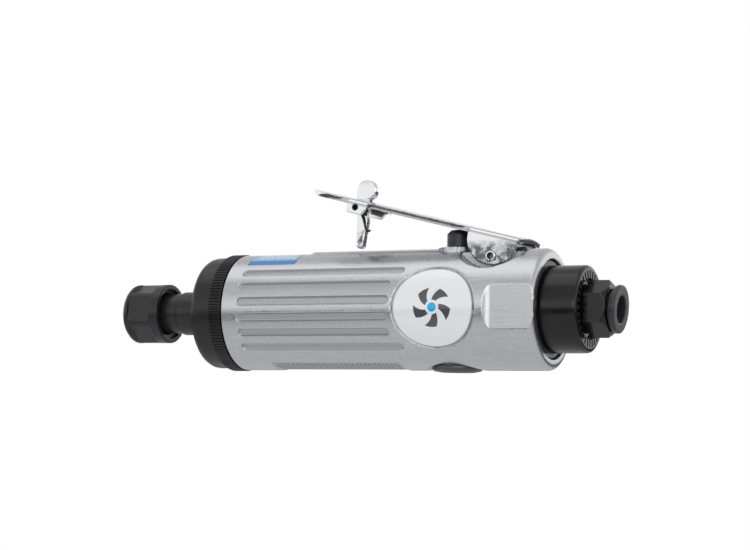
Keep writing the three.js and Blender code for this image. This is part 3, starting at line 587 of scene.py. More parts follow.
def mesh_object(name, points, faces, sharp=None):
    """A mesh object from points in millimetres. Edges bent by more than sharp degrees stay crisp."""
    mesh = bpy.data.meshes.new(name)
    mesh.from_pydata((np.asarray(points) * MM).tolist(), [], [list(map(int, f)) for f in faces])
    weld(mesh, unshaded=True)
    made = place_object(name, mesh)
    smooth(made, sharp)
    return made


def smooth(piece, sharp=None):
    piece.data.shade_smooth()
    if sharp is not None:
        piece.data.set_sharp_from_angle(angle=math.radians(sharp))


def swept_object(name, rings, closed, sharp):
    """A mesh object through successive rings of points."""
    return mesh_object(name, rings.reshape(-1, 3), sweep_faces(*rings.shape[:2], closed), sharp)


def around_axis(x, radius, angle):
    """Points about the X axis. Angle 0 points to -Y and a quarter turn to +Z."""
    return np.stack([x, -radius * np.cos(angle), radius * np.sin(angle)], -1)


def turned(profile, angles, shape=None):
    """Rings of points about the X axis; shape may change the radius at each (x, radius, angle)."""
    along, out = profile[:, :1], profile[:, 1:2]
    around = np.asarray(angles)[None, :]
    radius = np.broadcast_to(out, (len(profile), around.shape[1]))
    if shape is not None:
        radius = shape(along, radius, around)
    return around_axis(np.broadcast_to(along, radius.shape), radius, around)


def turned_object(name, profile, count, shape, sharp):
    """A closed profile turned about the X axis in equal steps."""
    return swept_object(name, turned(profile, circle(count), shape), True, sharp)


def subdivided(profile, step, low=-1e9, high=1e9, closed=True):
    """Adds points so that stretches between two stations are no longer than step."""
    ends = np.roll(profile, -1, axis=0) if closed else profile[1:]
    result = []
    for a, b in zip(profile, ends):
        inside = low <= min(a[0], b[0]) and max(a[0], b[0]) <= high
        pieces = max(int(math.ceil(np.linalg.norm(b - a) / step)), 1) if inside else 1
        result += [a + (b - a) * k / pieces for k in range(pieces)]
    if not closed:
        result.append(profile[-1])
    return np.array(result)


def stand_upright(points, x):
    """Turns a shape made about the X axis so that its axis is +Z, through the given station."""
    return np.stack([x + points[..., 2], points[..., 1], points[..., 0]], -1)


def lay_across(points, x, z):
    """Turns a shape made about the X axis so that its axis runs along Y, through (x, z)."""
    return np.stack([x + points[..., 1], points[..., 0], z + points[..., 2]], -1)


def finish_piece(piece, body, material, slot, *nodes):
    piece.data.materials.clear()
    piece.data.materials.append(material)
    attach(piece, body)
    if nodes:
        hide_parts(*nodes)
    return piece


def apply_modifiers(piece):
    evaluated = piece.evaluated_get(bpy.context.evaluated_depsgraph_get())
    mesh = bpy.data.meshes.new_from_object(evaluated)
    piece.modifiers.clear()
    old, piece.data = piece.data, mesh
    mesh.name = old.name
    bpy.data.meshes.remove(old)


def cut_away(piece, cutter):
    cut = piece.modifiers.new("cut", "BOOLEAN")
    cut.operation = "DIFFERENCE"
    cut.solver = "EXACT"
    cut.object = cutter
    apply_modifiers(piece)
    bpy.data.objects.remove(cutter)


def curve_mesh(name, data):
    """The mesh that a curve makes."""
    curve = place_object(name, data)
    mesh = bpy.data.meshes.new_from_object(curve.evaluated_get(bpy.context.evaluated_depsgraph_get()))
    bpy.data.objects.remove(curve)
    mesh.name = name
    return mesh


def mark_points(piece, name, values):
    """Stores a number at each point for a material to read."""
    store = piece.data.attributes.new(name, "FLOAT", "POINT")
    store.data.foreach_set("value", values.astype(np.float32))


def points_of(piece):
    return np.array([v.co for v in piece.data.vertices]) / MM


def turn_about(points, angle, centre=(0, 0, 0)):
    """Turns points about the Y direction through a centre, positive from +Z towards +X."""
    c, s = math.cos(angle), math.sin(angle)
    p = np.asarray(points, float) - centre
    return np.stack([c * p[..., 0] + s * p[..., 2], p[..., 1], -s * p[..., 0] + c * p[..., 2]], -1) + centre


# ------------------------------------------------------------------ housing
REAR_FILLET, FRONT_FILLET = 2.0, 0.4
RIM = 0.42  # width of the soft wall round each sunken shape
FINE = 0.16  # gap between points where the surface turns sharply
FAR_OUT = 99  # a radius that no cut into the body has


def station_spacing(x):
    edges = (LABEL["front"], LABEL["rear"], PLATE["front"], PLATE["rear"])
    if min(abs(x - e) for e in edges) < 0.55 or x > BODY_REAR - REAR_FILLET - 0.1:
        return FINE
    if x < BODY_FRONT + FRONT_FILLET + 0.1:
        return 0.1
    near_groove_end = GROOVE_FRONT - 0.1 < x < GROOVE_FRONT + 1.5
    near_groove_end |= any(rear - 1.5 < x < rear + 0.2 for rear in GROOVE_REARS)
    if near_groove_end or abs(x - FLAT["front"] + 1.4) < 1.8:
        return 0.19
    if x > GROOVE_REARS[0]:
        return 0.29
    return 0.4 if PAD["front"] < x < PAD["front"] + 3 else 1.6


def angle_spacing(angle):
    side = math.asin(math.sin(angle)) * BODY_RADIUS
    for groove in GROOVE_ANGLES:
        offset = abs(abs(side) - math.radians(groove) * BODY_RADIUS)
        if 0.8 < offset < 1.5:
            return FINE / BODY_RADIUS
    top = abs(angle - TURN / 4) * BODY_RADIUS
    bottom = abs(angle - 3 * TURN / 4) * BODY_RADIUS
    label_edge = math.radians(LABEL["half_angle"]) * BODY_RADIUS
    plate_edge = math.radians(PLATE["half_angle"]) * BODY_RADIUS
    if min(abs(top - label_edge), abs(top - PAD["half_width"]), abs(bottom - plate_edge)) < 0.5:
        return FINE / BODY_RADIUS
    return 0.38 / BODY_RADIUS


def panel_depth(x, around, panel, centre):
    """How far a label's recess goes down at each point, with a small radius at its corners."""
    corner = 0.8
    middle = (panel["front"] + panel["rear"]) / 2
    half_length = (panel["rear"] - panel["front"]) / 2 + PANEL_MARGIN - corner
    half_width = math.radians(panel["half_angle"]) * BODY_RADIUS + PANEL_MARGIN - corner
    offset = (around - centre + math.pi) % TURN - math.pi
    along = np.abs(x - middle) - half_length
    beside = np.abs(offset) * BODY_RADIUS - half_width
    outside = np.hypot(np.maximum(along, 0), np.maximum(beside, 0))
    distance = outside + np.minimum(np.maximum(along, beside), 0) - corner
    return panel["depth"] * rise(-distance, 0.3)


def groove_depth(x, side):
    """Six long slots a side, with round ends and flat floors."""
    depth = np.zeros(np.broadcast(x, side).shape)
    half_width = GROOVE_WIDTH / 2
    for angle, rear in zip(GROOVE_ANGLES, GROOVE_REARS):
        for sign in (1, -1):
            lateral = side - sign * math.radians(angle) * BODY_RADIUS
            beyond = np.maximum(np.maximum(GROOVE_FRONT + half_width - x, x - rear + half_width), 0)
            inside = half_width - np.hypot(beyond, lateral)
            floor = (BODY_RADIUS - GROOVE_DEPTH) / np.cos(lateral / BODY_RADIUS)
            depth = np.maximum(depth, rise(inside, RIM) * (BODY_RADIUS - floor))
    return depth


def regulator_mouth(x, around, radius):
    """The cone and well in the underside that the regulator sits in, as a radius from the axis."""
    down = np.maximum(-np.sin(around), 1e-3)
    slope = (REGULATOR["mouth_z"] - REGULATOR["well_z"]) / (REGULATOR["mouth"] - REGULATOR["well"])
    found = np.broadcast_to(radius, np.broadcast(x, around).shape)
    for _ in range(12):
        away = np.hypot(x - VALVE_X, found * np.cos(around))
        cone = REGULATOR["well_z"] + (away - REGULATOR["well"]) * slope
        found = np.minimum(cone / down, 60)
    away = np.hypot(x - VALVE_X, radius * np.cos(around))
    well = rise(REGULATOR["well"] + 0.1 - away, 0.3)
    return np.where(down > 0.3, found * (1 - well) + REGULATOR["floor"] / down * well, FAR_OUT)


def housing_surface(x, radius, around):
    """The cast body's outer radius at each station and angle, and how sunken it is there, 0 to 1."""
    up = np.maximum(np.sin(around), 1e-3)
    sideways = np.maximum(np.abs(np.cos(around)), 1e-3)
    side = np.arcsin(np.sin(around)) * BODY_RADIUS
    grooves = groove_depth(x, side)
    recess = BADGE_DEPTH * rise(BADGE_RECESS - np.hypot(x - BADGE_X, side), RIM)
    panels = panel_depth(x, around, LABEL, TURN / 4) + panel_depth(x, around, PLATE, 3 * TURN / 4)
    r = radius - grooves - recess - panels
    sunk = np.clip(grooves / 0.6 + recess / 0.6 + panels / 0.5, 0, 1)

    low, run_in = PAD["top"] - PAD["step"], PAD["run_in"]
    pad_top = low + PAD["step"] * rise(x - PAD["front"], run_in) * rise(PAD["rear"] - x, run_in)
    above = np.sin(around) > 0
    r = smooth_max(r, np.minimum(pad_top / up, PAD["half_width"] / sideways) * above, 0.22)
    chord = np.sqrt(np.maximum(BOSS["radius"] ** 2 - (x - VALVE_X) ** 2, 0))
    r = smooth_max(r, np.minimum(BOSS["top"] / up, chord / sideways) * above, 0.2)

    from_valve = np.hypot(x - VALVE_X, r * np.cos(around)) + FAR_OUT * (np.sin(around) < 0)
    hole = rise(BOSS["hole"] + 0.25 - from_valve, 0.4)
    r = r * (1 - hole) + BOSS["floor"] / up * hole

    floor = SCOOP["z"] - np.sqrt(np.maximum(SCOOP["radius"] ** 2 - (x - SCOOP["x"]) ** 2, 0))
    scoop = smooth_max(SCOOP["wall"] / sideways, floor / up, 0.6)
    sunk = np.maximum(sunk, rise(r - scoop - 0.3, 0.6))
    r = smooth_min(r, scoop, 0.3)

    back = np.clip(FLAT["front"] - x, 0, FLAT["run_out"])
    cut = FLAT["half_width"] + FLAT["run_out"] - np.sqrt(FLAT["run_out"] ** 2 - back ** 2)
    r = smooth_min(r, cut / sideways, 0.1)

    mouth = regulator_mouth(x, around, r)
    sunk = np.maximum(sunk, rise(r - mouth - 0.1, 0.5))
    r = smooth_min(r, mouth, 0.2)

    front = np.clip(BODY_FRONT + FRONT_FILLET - x, 0, FRONT_FILLET)
    rear = np.clip(x - BODY_REAR + REAR_FILLET, 0, REAR_FILLET)
    r = np.minimum(r, BODY_RADIUS - FRONT_FILLET + np.sqrt(FRONT_FILLET ** 2 - front ** 2) + 9 * (front <= 0))
    r = np.minimum(r, BODY_RADIUS - REAR_FILLET + np.sqrt(REAR_FILLET ** 2 - rear ** 2) + 9 * (rear <= 0))
    return r, sunk


def make_housing(material):
    stations = evenly(BODY_FRONT, BODY_REAR, station_spacing)[:, None]
    angles = evenly(0, TURN, angle_spacing)[:-1]
    outer, sunk = housing_surface(stations, BODY_RADIUS, angles[None, :])
    bores = rounded([
        (BODY_REAR, 16.5), (BODY_REAR, 15.3, 0.3), (-27.5, 15.3), (-27.5, 7.45, 0.3), (-38, 7.45), (-38, 6),
        (-44, 6), (-44, 2), (-62, 2), (-62, 14.5), (-114.6, 14.5), (-114.6, 16.3), (BODY_FRONT, 16.3, 0.25),
        (BODY_FRONT, 18.0),
    ])
    skin = around_axis(np.broadcast_to(stations, outer.shape), outer, angles)
    piece = swept_object("housing_shell", np.concatenate([skin, turned(bores, angles)]), True, 50)
    # how sunken each point is, which the finish reads for a rougher skin and for painted shade
    mark_points(piece, "sunk", np.concatenate([sunk, np.zeros((len(bores), len(angles)))]).reshape(-1))
    return finish_piece(piece, "root", material, "cast_aluminium", "housing")


def wrapped_patch(name, x0, x1, half_angle, centre, outer, inner, corner):
    """A thin panel with rounded corners, wrapped on the body, with a UV map from -1 to 1 each way."""
    rows, columns = 40, 48
    half_length = (x1 - x0) / 2
    half_width = math.radians(half_angle) * outer
    v = np.linspace(-1, 1, columns)
    beyond = np.maximum(np.abs(v) * half_width - half_width + corner, 0)
    trim = corner - np.sqrt(np.maximum(corner ** 2 - beyond ** 2, 0))
    u = np.linspace(-1, 1, rows)[:, None]
    along = u * (half_length - trim[None, :])
    across = np.broadcast_to(v * half_width, along.shape)
    edge = np.minimum((half_length - np.abs(along) - trim), half_width - np.abs(across))
    height = outer - 0.06 * (1 - rise(edge, 0.5))
    x, angle = (x0 + x1) / 2 + along, centre + across / outer
    points = [around_axis(x, level, angle) for level in (height, np.full_like(along, inner))]
    coordinates = [np.stack([along / half_length, across / half_width], -1)] * 2
    count = rows * columns
    index = np.arange(count).reshape(rows, columns)
    top = np.stack([index[:-1, :-1], index[:-1, 1:], index[1:, 1:], index[1:, :-1]], -1).reshape(-1, 4)
    rim = np.concatenate([index[0, :], index[1:, -1], index[-1, -2::-1], index[-2:0:-1, 0]])
    after = np.roll(rim, -1)
    sides = np.stack([rim, after, after + count, rim + count], -1)
    faces = np.concatenate([top, top[:, ::-1] + count, sides])
    piece = mesh_object(name, np.concatenate(points).reshape(-1, 3), faces, 40)
    paint_map(piece, np.concatenate(coordinates).reshape(-1, 2))
    return piece


def paint_map(piece, coordinates):
    layer = piece.data.uv_layers.new(name="face")
    corners = np.zeros(len(piece.data.loops), int)
    piece.data.loops.foreach_get("vertex_index", corners)
    layer.data.foreach_set("uv", coordinates[corners].astype(np.float32).reshape(-1))


def make_badge(name, side, material, node):
    """A resin-domed disc wrapped on the body; side is -1 for the near one."""
    spokes = 96
    dome, back = 0.5, BODY_RADIUS - 0.6
    middle = np.linspace(0, BADGE_RADIUS - dome, 22)
    reach = np.concatenate([middle, BADGE_RADIUS - dome * (1 - np.sin(np.linspace(0.3, TURN / 4, 6)))])
    inward = 1 - np.clip((BADGE_RADIUS - reach) / dome, 0, 1)
    height = BODY_RADIUS - 0.05 - dome * (1 - np.sqrt(np.clip(1 - inward ** 2, 0, 1)))
    reach = np.append(reach, [BADGE_RADIUS, 0])
    height = np.append(height, [back, back])
    around = circle(spokes)
    x = reach[:, None] * np.cos(around)
    s = reach[:, None] * np.sin(around)
    angle = s / BODY_RADIUS
    level = height[:, None]
    points = np.stack([BADGE_X + x, side * level * np.cos(angle), level * np.sin(angle)], -1)
    piece = swept_object(name, points, False, 50)
    place = points_of(piece)
    up = np.arcsin(np.clip(place[:, 2] / np.hypot(place[:, 1], place[:, 2]), -1, 1)) * BODY_RADIUS
    coordinates = np.stack([-side * (place[:, 0] - BADGE_X) / BADGE_RADIUS, up / BADGE_RADIUS], -1)
    paint_map(piece, coordinates)
    return finish_piece(piece, "root", material, "white_badge", node)


def make_panels(label_material, plate_material):
    for name, panel, centre, depth, material, slot, node in (
        ("label_foil", LABEL, TURN / 4, 0.02, label_material, "blue_label", "top_label"),
        ("etched_panel", PLATE, 3 * TURN / 4, 0.3, plate_material, "etched_plate", "data_plate"),
    ):
        ends, outer = (panel["front"], panel["rear"]), BODY_RADIUS - depth
        piece = wrapped_patch(name, *ends, panel["half_angle"], centre, outer, BODY_RADIUS - 0.4, 0.6)
        finish_piece(piece, "root", material, slot, node)


# ------------------------------------------------------------------ front end
def make_front_cap(material):
    """The clamp ring: a smooth lip in front and a band of straight ribs behind."""
    ribs, lines_per_rib, rib_depth = 110, 8, 0.42
    front, band_front, rear = span("front_cap")[0][0], -128.9, BODY_FRONT - 0.3
    lip = CAP_RADIUS - 0.9
    profile = rounded([
        (front, 7.5, 0.2), (front, lip, 2.6), (band_front, lip, 0.1), (band_front + 0.25, CAP_RADIUS, 0.2),
        (rear, CAP_RADIUS, 0.25), (rear, 16, 0.1), (-115, 16), (-115, 13.6), (front + 4, 13.6),
        (front + 4, 7.5),
    ], closed=True)

    def knurl(x, radius, around):
        wave = np.clip(0.5 + 1.1 * np.sin(around * ribs), 0, 1)
        band = rise(x - band_front - 0.1, 0.3) * rise(rear - 0.1 - x, 0.2) * (radius > lip)
        return radius - rib_depth * wave * band

    profile = subdivided(profile, 0.5, band_front - 0.2, rear + 0.2)
    piece = turned_object("front_clamp_ring", profile, ribs * lines_per_rib, knurl, 50)
    finish_piece(piece, "root", material, "black_cap", "front_cap")


def make_collet_nut(material):
    """Round collars front and rear with a hexagon milled between them."""
    profile = rounded([
        (NUT_FRONT, 4.6, 0.3), (NUT_FRONT, NUT_RADIUS - 1.4, 0.4), (NUT_FRONT + 1.4, NUT_RADIUS, 0.6),
        (NUT_REAR, NUT_RADIUS, 0.45), (NUT_REAR, 8.2, 0.2), (NUT_REAR - 1.4, 8.2), (NUT_REAR - 1.6, 6.9),
        (NUT_FRONT + 2.2, 6.9), (NUT_FRONT + 2.2, 5.4),
    ], closed=True)
    profile = subdivided(profile, 0.25)
    apothem, first = 8.75, math.radians(8)
    milled = (NUT_FRONT + 2.4, NUT_REAR - 3.2)

    def hexagon(x, radius, around):
        turned_by = from_nearest(around - first, 6)
        flat = apothem / np.cos(turned_by)
        share = rise(x - milled[0], 0.3) * rise(milled[1] - x, 0.3) * (radius > 8.4)
        return radius * (1 - share) + smooth_min(radius, flat, 0.06) * share

    piece = turned_object("collet_nut_body", profile, 288, hexagon, 42)
    finish_piece(piece, "spindle", material, "black_nut", "collet_nut")


def make_spindle(material):
    """One turned piece: the collet's seat, the neck with two wrench flats, journals and the slotted rotor."""
    drum = (-110.3, -76.5, 9.9)
    neck_end = -126.2
    profile = rounded([
        (-164.4, 5.5), (-164.4, 6.35, 0.3), (-150.2, 6.35, 0.1), (-150.2, 6.6, 0.08), (-147.8, 6.6, 0.08),
        (-147.4, SPINDLE_RADIUS, 0.3), (neck_end, SPINDLE_RADIUS), (neck_end, 6), (drum[0], 6),
        (drum[0], drum[2]), (drum[1], drum[2]), (drum[1], 4), (-64.2, 4), (-64.2, 0), (-146, 0),
        (-149, 3.05), (-149, 4),
    ], closed=True)
    profile = subdivided(profile, 0.2, -148, -141)
    slot, floor, count = 0.85, 3.3, 5
    flat_turn, flat_depth, flat_half_width = math.radians(23.6), 6.0, 3.1
    flat_front, flat_rear = -145.2, -142.3

    def spacing(angle):
        from_slot = abs(from_nearest(angle - TURN / 4, count)) * drum[2]
        return 0.02 if abs(from_slot - slot) < 0.3 else 0.05

    def wrench_flats(x, radius, around):
        offset = from_nearest(around - flat_turn, 2)
        share = rise(x - flat_front, 0.2) * rise(flat_rear - x, 0.2) * (radius > 5)
        share = share * rise(flat_half_width + 0.1 - np.abs(radius * np.sin(offset)), 0.2)
        return radius * (1 - share) + np.minimum(radius, flat_depth / np.cos(offset)) * share

    angles = evenly(0, TURN, spacing)[:-1]
    points = turned(profile, angles, wrench_flats)
    in_drum = np.abs(profile[:, 1] - drum[2]) < 0.5
    offset = from_nearest(angles - TURN / 4, count)
    centre = angles - offset
    in_slot = np.abs(offset) * drum[2] < slot
    for row in np.flatnonzero(in_drum):
        lateral = (offset * drum[2])[in_slot]
        c, s = np.cos(centre[in_slot]), np.sin(centre[in_slot])
        points[row, in_slot, 1] = -floor * c + lateral * s
        points[row, in_slot, 2] = floor * s + lateral * c
    piece = swept_object("spindle_and_rotor", points, True, 42)
    finish_piece(piece, "spindle", material, "black_spindle", "rotor_spindle")


def make_collet(material):
    """A taper sleeve split into six fingers in front of a solid ring."""
    front, root, rear = NUT_FRONT + 0.3, -154.0, -149.8
    fingers, half_gap = 6, 0.1  # the gap is an angle, in radians
    shank = 3.05
    profile = rounded([
        (front, shank, 0.1), (front, 4, 0.2), (front + 1.9, 5, 0.2), (-163.4, 5), (root, 4.2), (root, shank),
    ], closed=True, steps=2)
    points, faces, start = [], [], 0
    for k in range(fingers):
        ends = k * TURN / fingers + half_gap, (k + 1) * TURN / fingers - half_gap
        angles = np.linspace(*ends, 14) + TURN / 4
        block = turned(profile, angles).transpose(1, 0, 2)
        rings, around = block.shape[:2]
        points.append(block.reshape(-1, 3))
        faces += (sweep_faces(rings, around, False) + start).tolist()
        faces.append(list(range(start, start + around)))
        faces.append(list(range(start + (rings - 1) * around, start + rings * around)))
        start += rings * around
    ring = turned(np.array([(root, shank), (root, 4.2), (rear, 3.7), (rear, shank)]), circle(84))
    points.append(ring.reshape(-1, 3))
    faces += (sweep_faces(4, 84, True) + start).tolist()
    piece = mesh_object("collet_sleeve", np.concatenate(points), faces, 40)
    finish_piece(piece, "spindle", material, "bright_collet", "collet")


# ------------------------------------------------------------------ throttle lever and latch
EDGE, SHEET, BEND = 8.2, 1.4, 1.9
LEVER_TIP, LEVER_REAR, LEVER_TOP, CROWN = -67.3, 8.5, 7.8, 0.8
EAR_X, EAR_Z, EAR_RADIUS = -0.8, 5.2, 8.2
LUG = {"front": LATCH_PIVOT[0] - 2.9, "rear": LATCH_PIVOT[0] + 3.8, "bottom": LATCH_PIVOT[2] - 2.0}
SLOT = {"front": LATCH_PIVOT[0] - 10.6, "rear": LATCH_PIVOT[0] + 3.9, "half_width": 1.6}
WINDOW = {"front": LATCH_PIVOT[0] - 2.7, "rear": LATCH_PIVOT[0] + 2.7, "half_width": 4.1}
FLAP_ROWS = 14
LEVER_PIN = {"radius": 1.65, "bore": 0.95, "hole": 1.75}
LATCH_PIN = {"radius": 1.05, "bore": 0.6, "hole": 1.12}


def flap_bottom(x):
    """The height of the lever's lower edge at a station, or None where it has no side flap."""
    if abs(x - EAR_X) <= EAR_RADIUS + 1e-6:
        return EAR_Z - math.sqrt(max(EAR_RADIUS ** 2 - (x - EAR_X) ** 2, 0))
    if LUG["front"] - 1e-6 <= x <= LUG["rear"] + 1e-6:
        rear_slope = LUG["bottom"] + max(x - LUG["rear"] + 1.5, 0) * 2.0
        front_corner = LUG["bottom"] + max(LUG["front"] + 0.9 - x, 0) ** 2 * 0.9
        return min(max(rear_slope, front_corner), 5.0)
    return None


def lever_stations():
    """Stations along the lever behind its rounded tip, close together where a flap's outline turns."""
    ear = EAR_X - EAR_RADIUS * np.cos(np.linspace(0, math.pi, 41))
    lug = np.linspace(LUG["front"], LUG["rear"], 19)
    marks = [SLOT["front"], SLOT["rear"], WINDOW["front"], WINDOW["rear"], LEVER_REAR]
    plain = np.arange(LEVER_TIP + EDGE + 1.5, LEVER_REAR, 1.6)
    clear = [x for x in plain if min(abs(x - m) for m in [*ear, *lug, *marks]) > 0.45]
    return np.unique(np.round(np.concatenate([ear, lug, marks, clear]), 5))


def strip_height(y):
    return LEVER_TOP - CROWN * (y / EDGE) ** 2


def sheet_point(x, along, flap):
    """A point of the lever's outer surface: along runs over the strip from -EDGE to EDGE, and flap, from 0
    to 1, goes on round the bend and down the side."""
    side = 1 if along > 0 else -1
    away = abs(along)
    bend_start = EDGE - BEND
    if flap_bottom(x) is None or (away <= bend_start and flap is None):
        return np.array([x, side * away, strip_height(min(away, EDGE))])
    start = strip_height(bend_start)
    quarter = math.pi / 2
    round_share = 0.3  # of the flap's rows, over the second half of the bend
    if flap is None:
        angle = (away - bend_start) / BEND * quarter * 0.5
    elif flap <= round_share:
        angle = quarter * (0.5 + 0.5 * flap / round_share)
    else:
        share = (flap - round_share) / (1 - round_share)
        top = start - BEND
        return np.array([x, side * EDGE, top + (min(flap_bottom(x), top - 0.05) - top) * share])
    return np.array([x, side * (bend_start + BEND * math.sin(angle)), start - BEND * (1 - math.cos(angle))])


def in_opening(x, y):
    return any(cut["front"] < x < cut["rear"] and abs(y) < cut["half_width"] for cut in (SLOT, WINDOW))


def lever_mesh():
    """The sheet's outer surface: a crowned strip with a round tip, and flaps bent down at ears and lugs."""
    half = np.array([
        SLOT["half_width"], 2.4, 3.2, WINDOW["half_width"], 5.2, EDGE - BEND, EDGE - 1.4, EDGE - 0.9,
        EDGE - 0.45, EDGE,
    ])
    across = np.concatenate([-half[::-1], [0], half])
    stations = lever_stations()
    tip_rows = 14
    index, points = {}, []

    def add(key, point):
        index[key] = len(points)
        points.append(point)

    for k in range(tip_rows):
        share = 1 - math.cos(math.pi / 2 * k / tip_rows)
        for j, y in enumerate(across):
            start = LEVER_TIP + EDGE - math.sqrt(max(EDGE ** 2 - y ** 2, 0))
            add((k, j), np.array([start + (stations[0] - start) * share, y, strip_height(y)]))
    for i, x in enumerate(stations):
        for j, y in enumerate(across):
            add((tip_rows + i, j), sheet_point(x, y, None))
        if flap_bottom(x) is not None:
            for flap in range(1, FLAP_ROWS + 1):
                for side, y in (("near", -EDGE), ("far", EDGE)):
                    add((tip_rows + i, (side, flap)), sheet_point(x, y, flap / FLAP_ROWS))

    faces = []
    last = len(across) - 1
    chains = {}
    for side, edge in (("near", 0), ("far", last)):
        chains[side] = [edge] + [(side, k) for k in range(1, FLAP_ROWS + 1)]
    for i in range(tip_rows + len(stations) - 1):
        at = i - tip_rows
        for j in range(last):
            middle = (across[j] + across[j + 1]) / 2
            if at < 0 or not in_opening((stations[at] + stations[at + 1]) / 2, middle):
                faces.append([index[i, j], index[i + 1, j], index[i + 1, j + 1], index[i, j + 1]])
        for side, chain in chains.items():
            for a, b in zip(chain[:-1], chain[1:]):
                corners = [(i, a), (i + 1, a), (i + 1, b), (i, b)]
                if all(c in index for c in corners):
                    order = corners if side == "far" else corners[::-1]
                    faces.append([index[c] for c in order])
    return turn_about(np.array(points), LEVER_SLOPE) + PIVOT, faces


def make_lever(material):
    """A folded sheet: a crowned strip with a round tip, two big round ears and two small latch lugs."""
    piece = mesh_object("lever_pressing", *lever_mesh())
    if sum(p.normal.z for p in piece.data.polygons if abs(p.normal.z) > 0.8) < 0:
        piece.data.flip_normals()
    solid = piece.modifiers.new("thickness", "SOLIDIFY")
    solid.thickness = SHEET * MM
    solid.offset = -1
    solid.use_even_offset = True
    bevel = piece.modifiers.new("edges", "BEVEL")
    bevel.width = 0.2 * MM
    bevel.segments = 3
    bevel.limit_method = "ANGLE"
    bevel.angle_limit = math.radians(50)
    apply_modifiers(piece)
    drill_across(piece, PIVOT, LEVER_PIN["hole"])
    drill_across(piece, latch_origin(), LATCH_PIN["hole"])
    smooth(piece, 48)
    finish_piece(piece, "lever", material, "chrome_lever", "throttle_lever")


def drill_across(piece, centre, radius):
    """Cuts a pin hole through both sides of the lever."""
    reach = EDGE + 2
    rod = turned(np.array([(-reach, 0), (-reach, radius), (reach, radius), (reach, 0)]), circle(40))
    cut_away(piece, swept_object("drill", lay_across(rod, centre[0], centre[2]), False, None))


def plate_object(name, outline, half_thickness, edge, holes=()):
    """A flat plate with rounded edges: an outline in X and Z, with round holes (x, z, radius)."""
    data = bpy.data.curves.new(name, "CURVE")
    data.dimensions = "2D"
    data.fill_mode = "BOTH"
    data.extrude = (half_thickness - edge) * MM
    data.bevel_depth = edge * MM
    data.bevel_resolution = 3
    data.offset = -edge * MM
    rims = [[(x + r * math.cos(a), z + r * math.sin(a)) for a in circle(28)] for x, z, r in holes]
    for loop in [outline] + rims:
        spline = data.splines.new("POLY")
        spline.points.add(len(loop) - 1)
        for point, (x, z) in zip(spline.points, loop):
            point.co = (x * MM, z * MM, 0, 1)
        spline.use_cyclic_u = True
    mesh = curve_mesh(name, data)
    mesh.transform(Matrix.Rotation(math.pi / 2, 4, "X"))
    return place_object(name, mesh)


def arc(x, z, radius, start, end, steps=16):
    angles = np.radians(np.linspace(start, end, steps))
    return [(x + radius * math.cos(a), z + radius * math.sin(a)) for a in angles]


LATCH_HALF_WIDTH, LATCH_WALL = 1.15, 0.6
LATCH_FOOT = {"x": -1.55, "z": -11.15, "radius": 1.3}
LATCH_THUMB = {"x": 0.55, "z": 6.05, "radius": 3.35}


def latch_origin():
    return turn_about(LATCH_PIVOT, LEVER_SLOPE) + PIVOT


def latch_outline():
    """Round foot, straight leg, narrow neck and round thumb tab, drawn about the latch's pin."""
    foot, thumb = LATCH_FOOT, LATCH_THUMB
    points = arc(foot["x"], foot["z"], foot["radius"], 180, 360)
    points += [(1.0, -4.2), (1.3, -1.5), (1.45, 1.2), (1.9, 2.8)]
    points += arc(thumb["x"], thumb["z"], thumb["radius"], -58, 180, 30)
    return points + [(-2.8, 2.8), (-2.85, -2)]


def make_latch(material):
    """A folded channel, open in front, with a small hole in its foot."""
    foot_hole = (LATCH_FOOT["x"], LATCH_FOOT["z"] + 0.25, 0.55)
    piece = plate_object("latch_channel", latch_outline(), LATCH_HALF_WIDTH, 0.34, [foot_hole])
    weld(piece.data)
    hollow = [(-6, -10.2), (-6, 4.6), (0.4, 4.6), (0.7, 1.4), (0.3, -4.2), (-1.0, -10.2)]
    cut_away(piece, plate_object("hollow", hollow, LATCH_HALF_WIDTH - LATCH_WALL, 0.08))
    piece.data.transform(Matrix.Translation(Vector(latch_origin() * MM)))
    smooth(piece, 38)
    finish_piece(piece, "latch", material, "chrome_latch", "latch")


def make_latch_spring(material):
    """A torsion spring: coils beside the latch on its pin and a leg hooked round the latch's rear edge."""
    coil, wire, turns, pitch, steps = 1.55, 0.35, 2.25, 0.85, 60
    start = -LATCH_HALF_WIDTH - 0.5
    route = []
    for k in range(steps + 1):
        angle = TURN / 4 + TURN * turns * k / steps
        beside = start - pitch * turns * (1 - k / steps)
        route.append((coil * math.cos(angle), beside, coil * math.sin(angle)))
    leg = [
        (-0.75, 0, -1.75), (-0.4, 0, -2.4), (0.05, 0, -3.8), (0.45, 0, -5.2), (0.85, 0.05, -6.45),
        (1.1, 0.25, -6.85), (1.35, 0.7, -6.95), (1.45, 1.2, -6.8), (1.4, 1.6, -6.6),
    ]
    route += [(x, start + y, z) for x, y, z in leg]
    data = bpy.data.curves.new("spring_wire", "CURVE")
    data.dimensions = "3D"
    data.bevel_depth = wire * MM
    data.bevel_resolution = 4
    data.use_fill_caps = True
    data.resolution_u = 3
    spline = data.splines.new("BEZIER")
    spline.bezier_points.add(len(route) - 1)
    for point, place in zip(spline.bezier_points, route):
        point.co = Vector((np.array(place) + latch_origin()) * MM)
        point.handle_left_type = point.handle_right_type = "AUTO"
    piece = place_object("spring_wire", curve_mesh("spring_wire", data))
    smooth(piece)
    finish_piece(piece, "latch", material, "black_wire", "latch_spring")


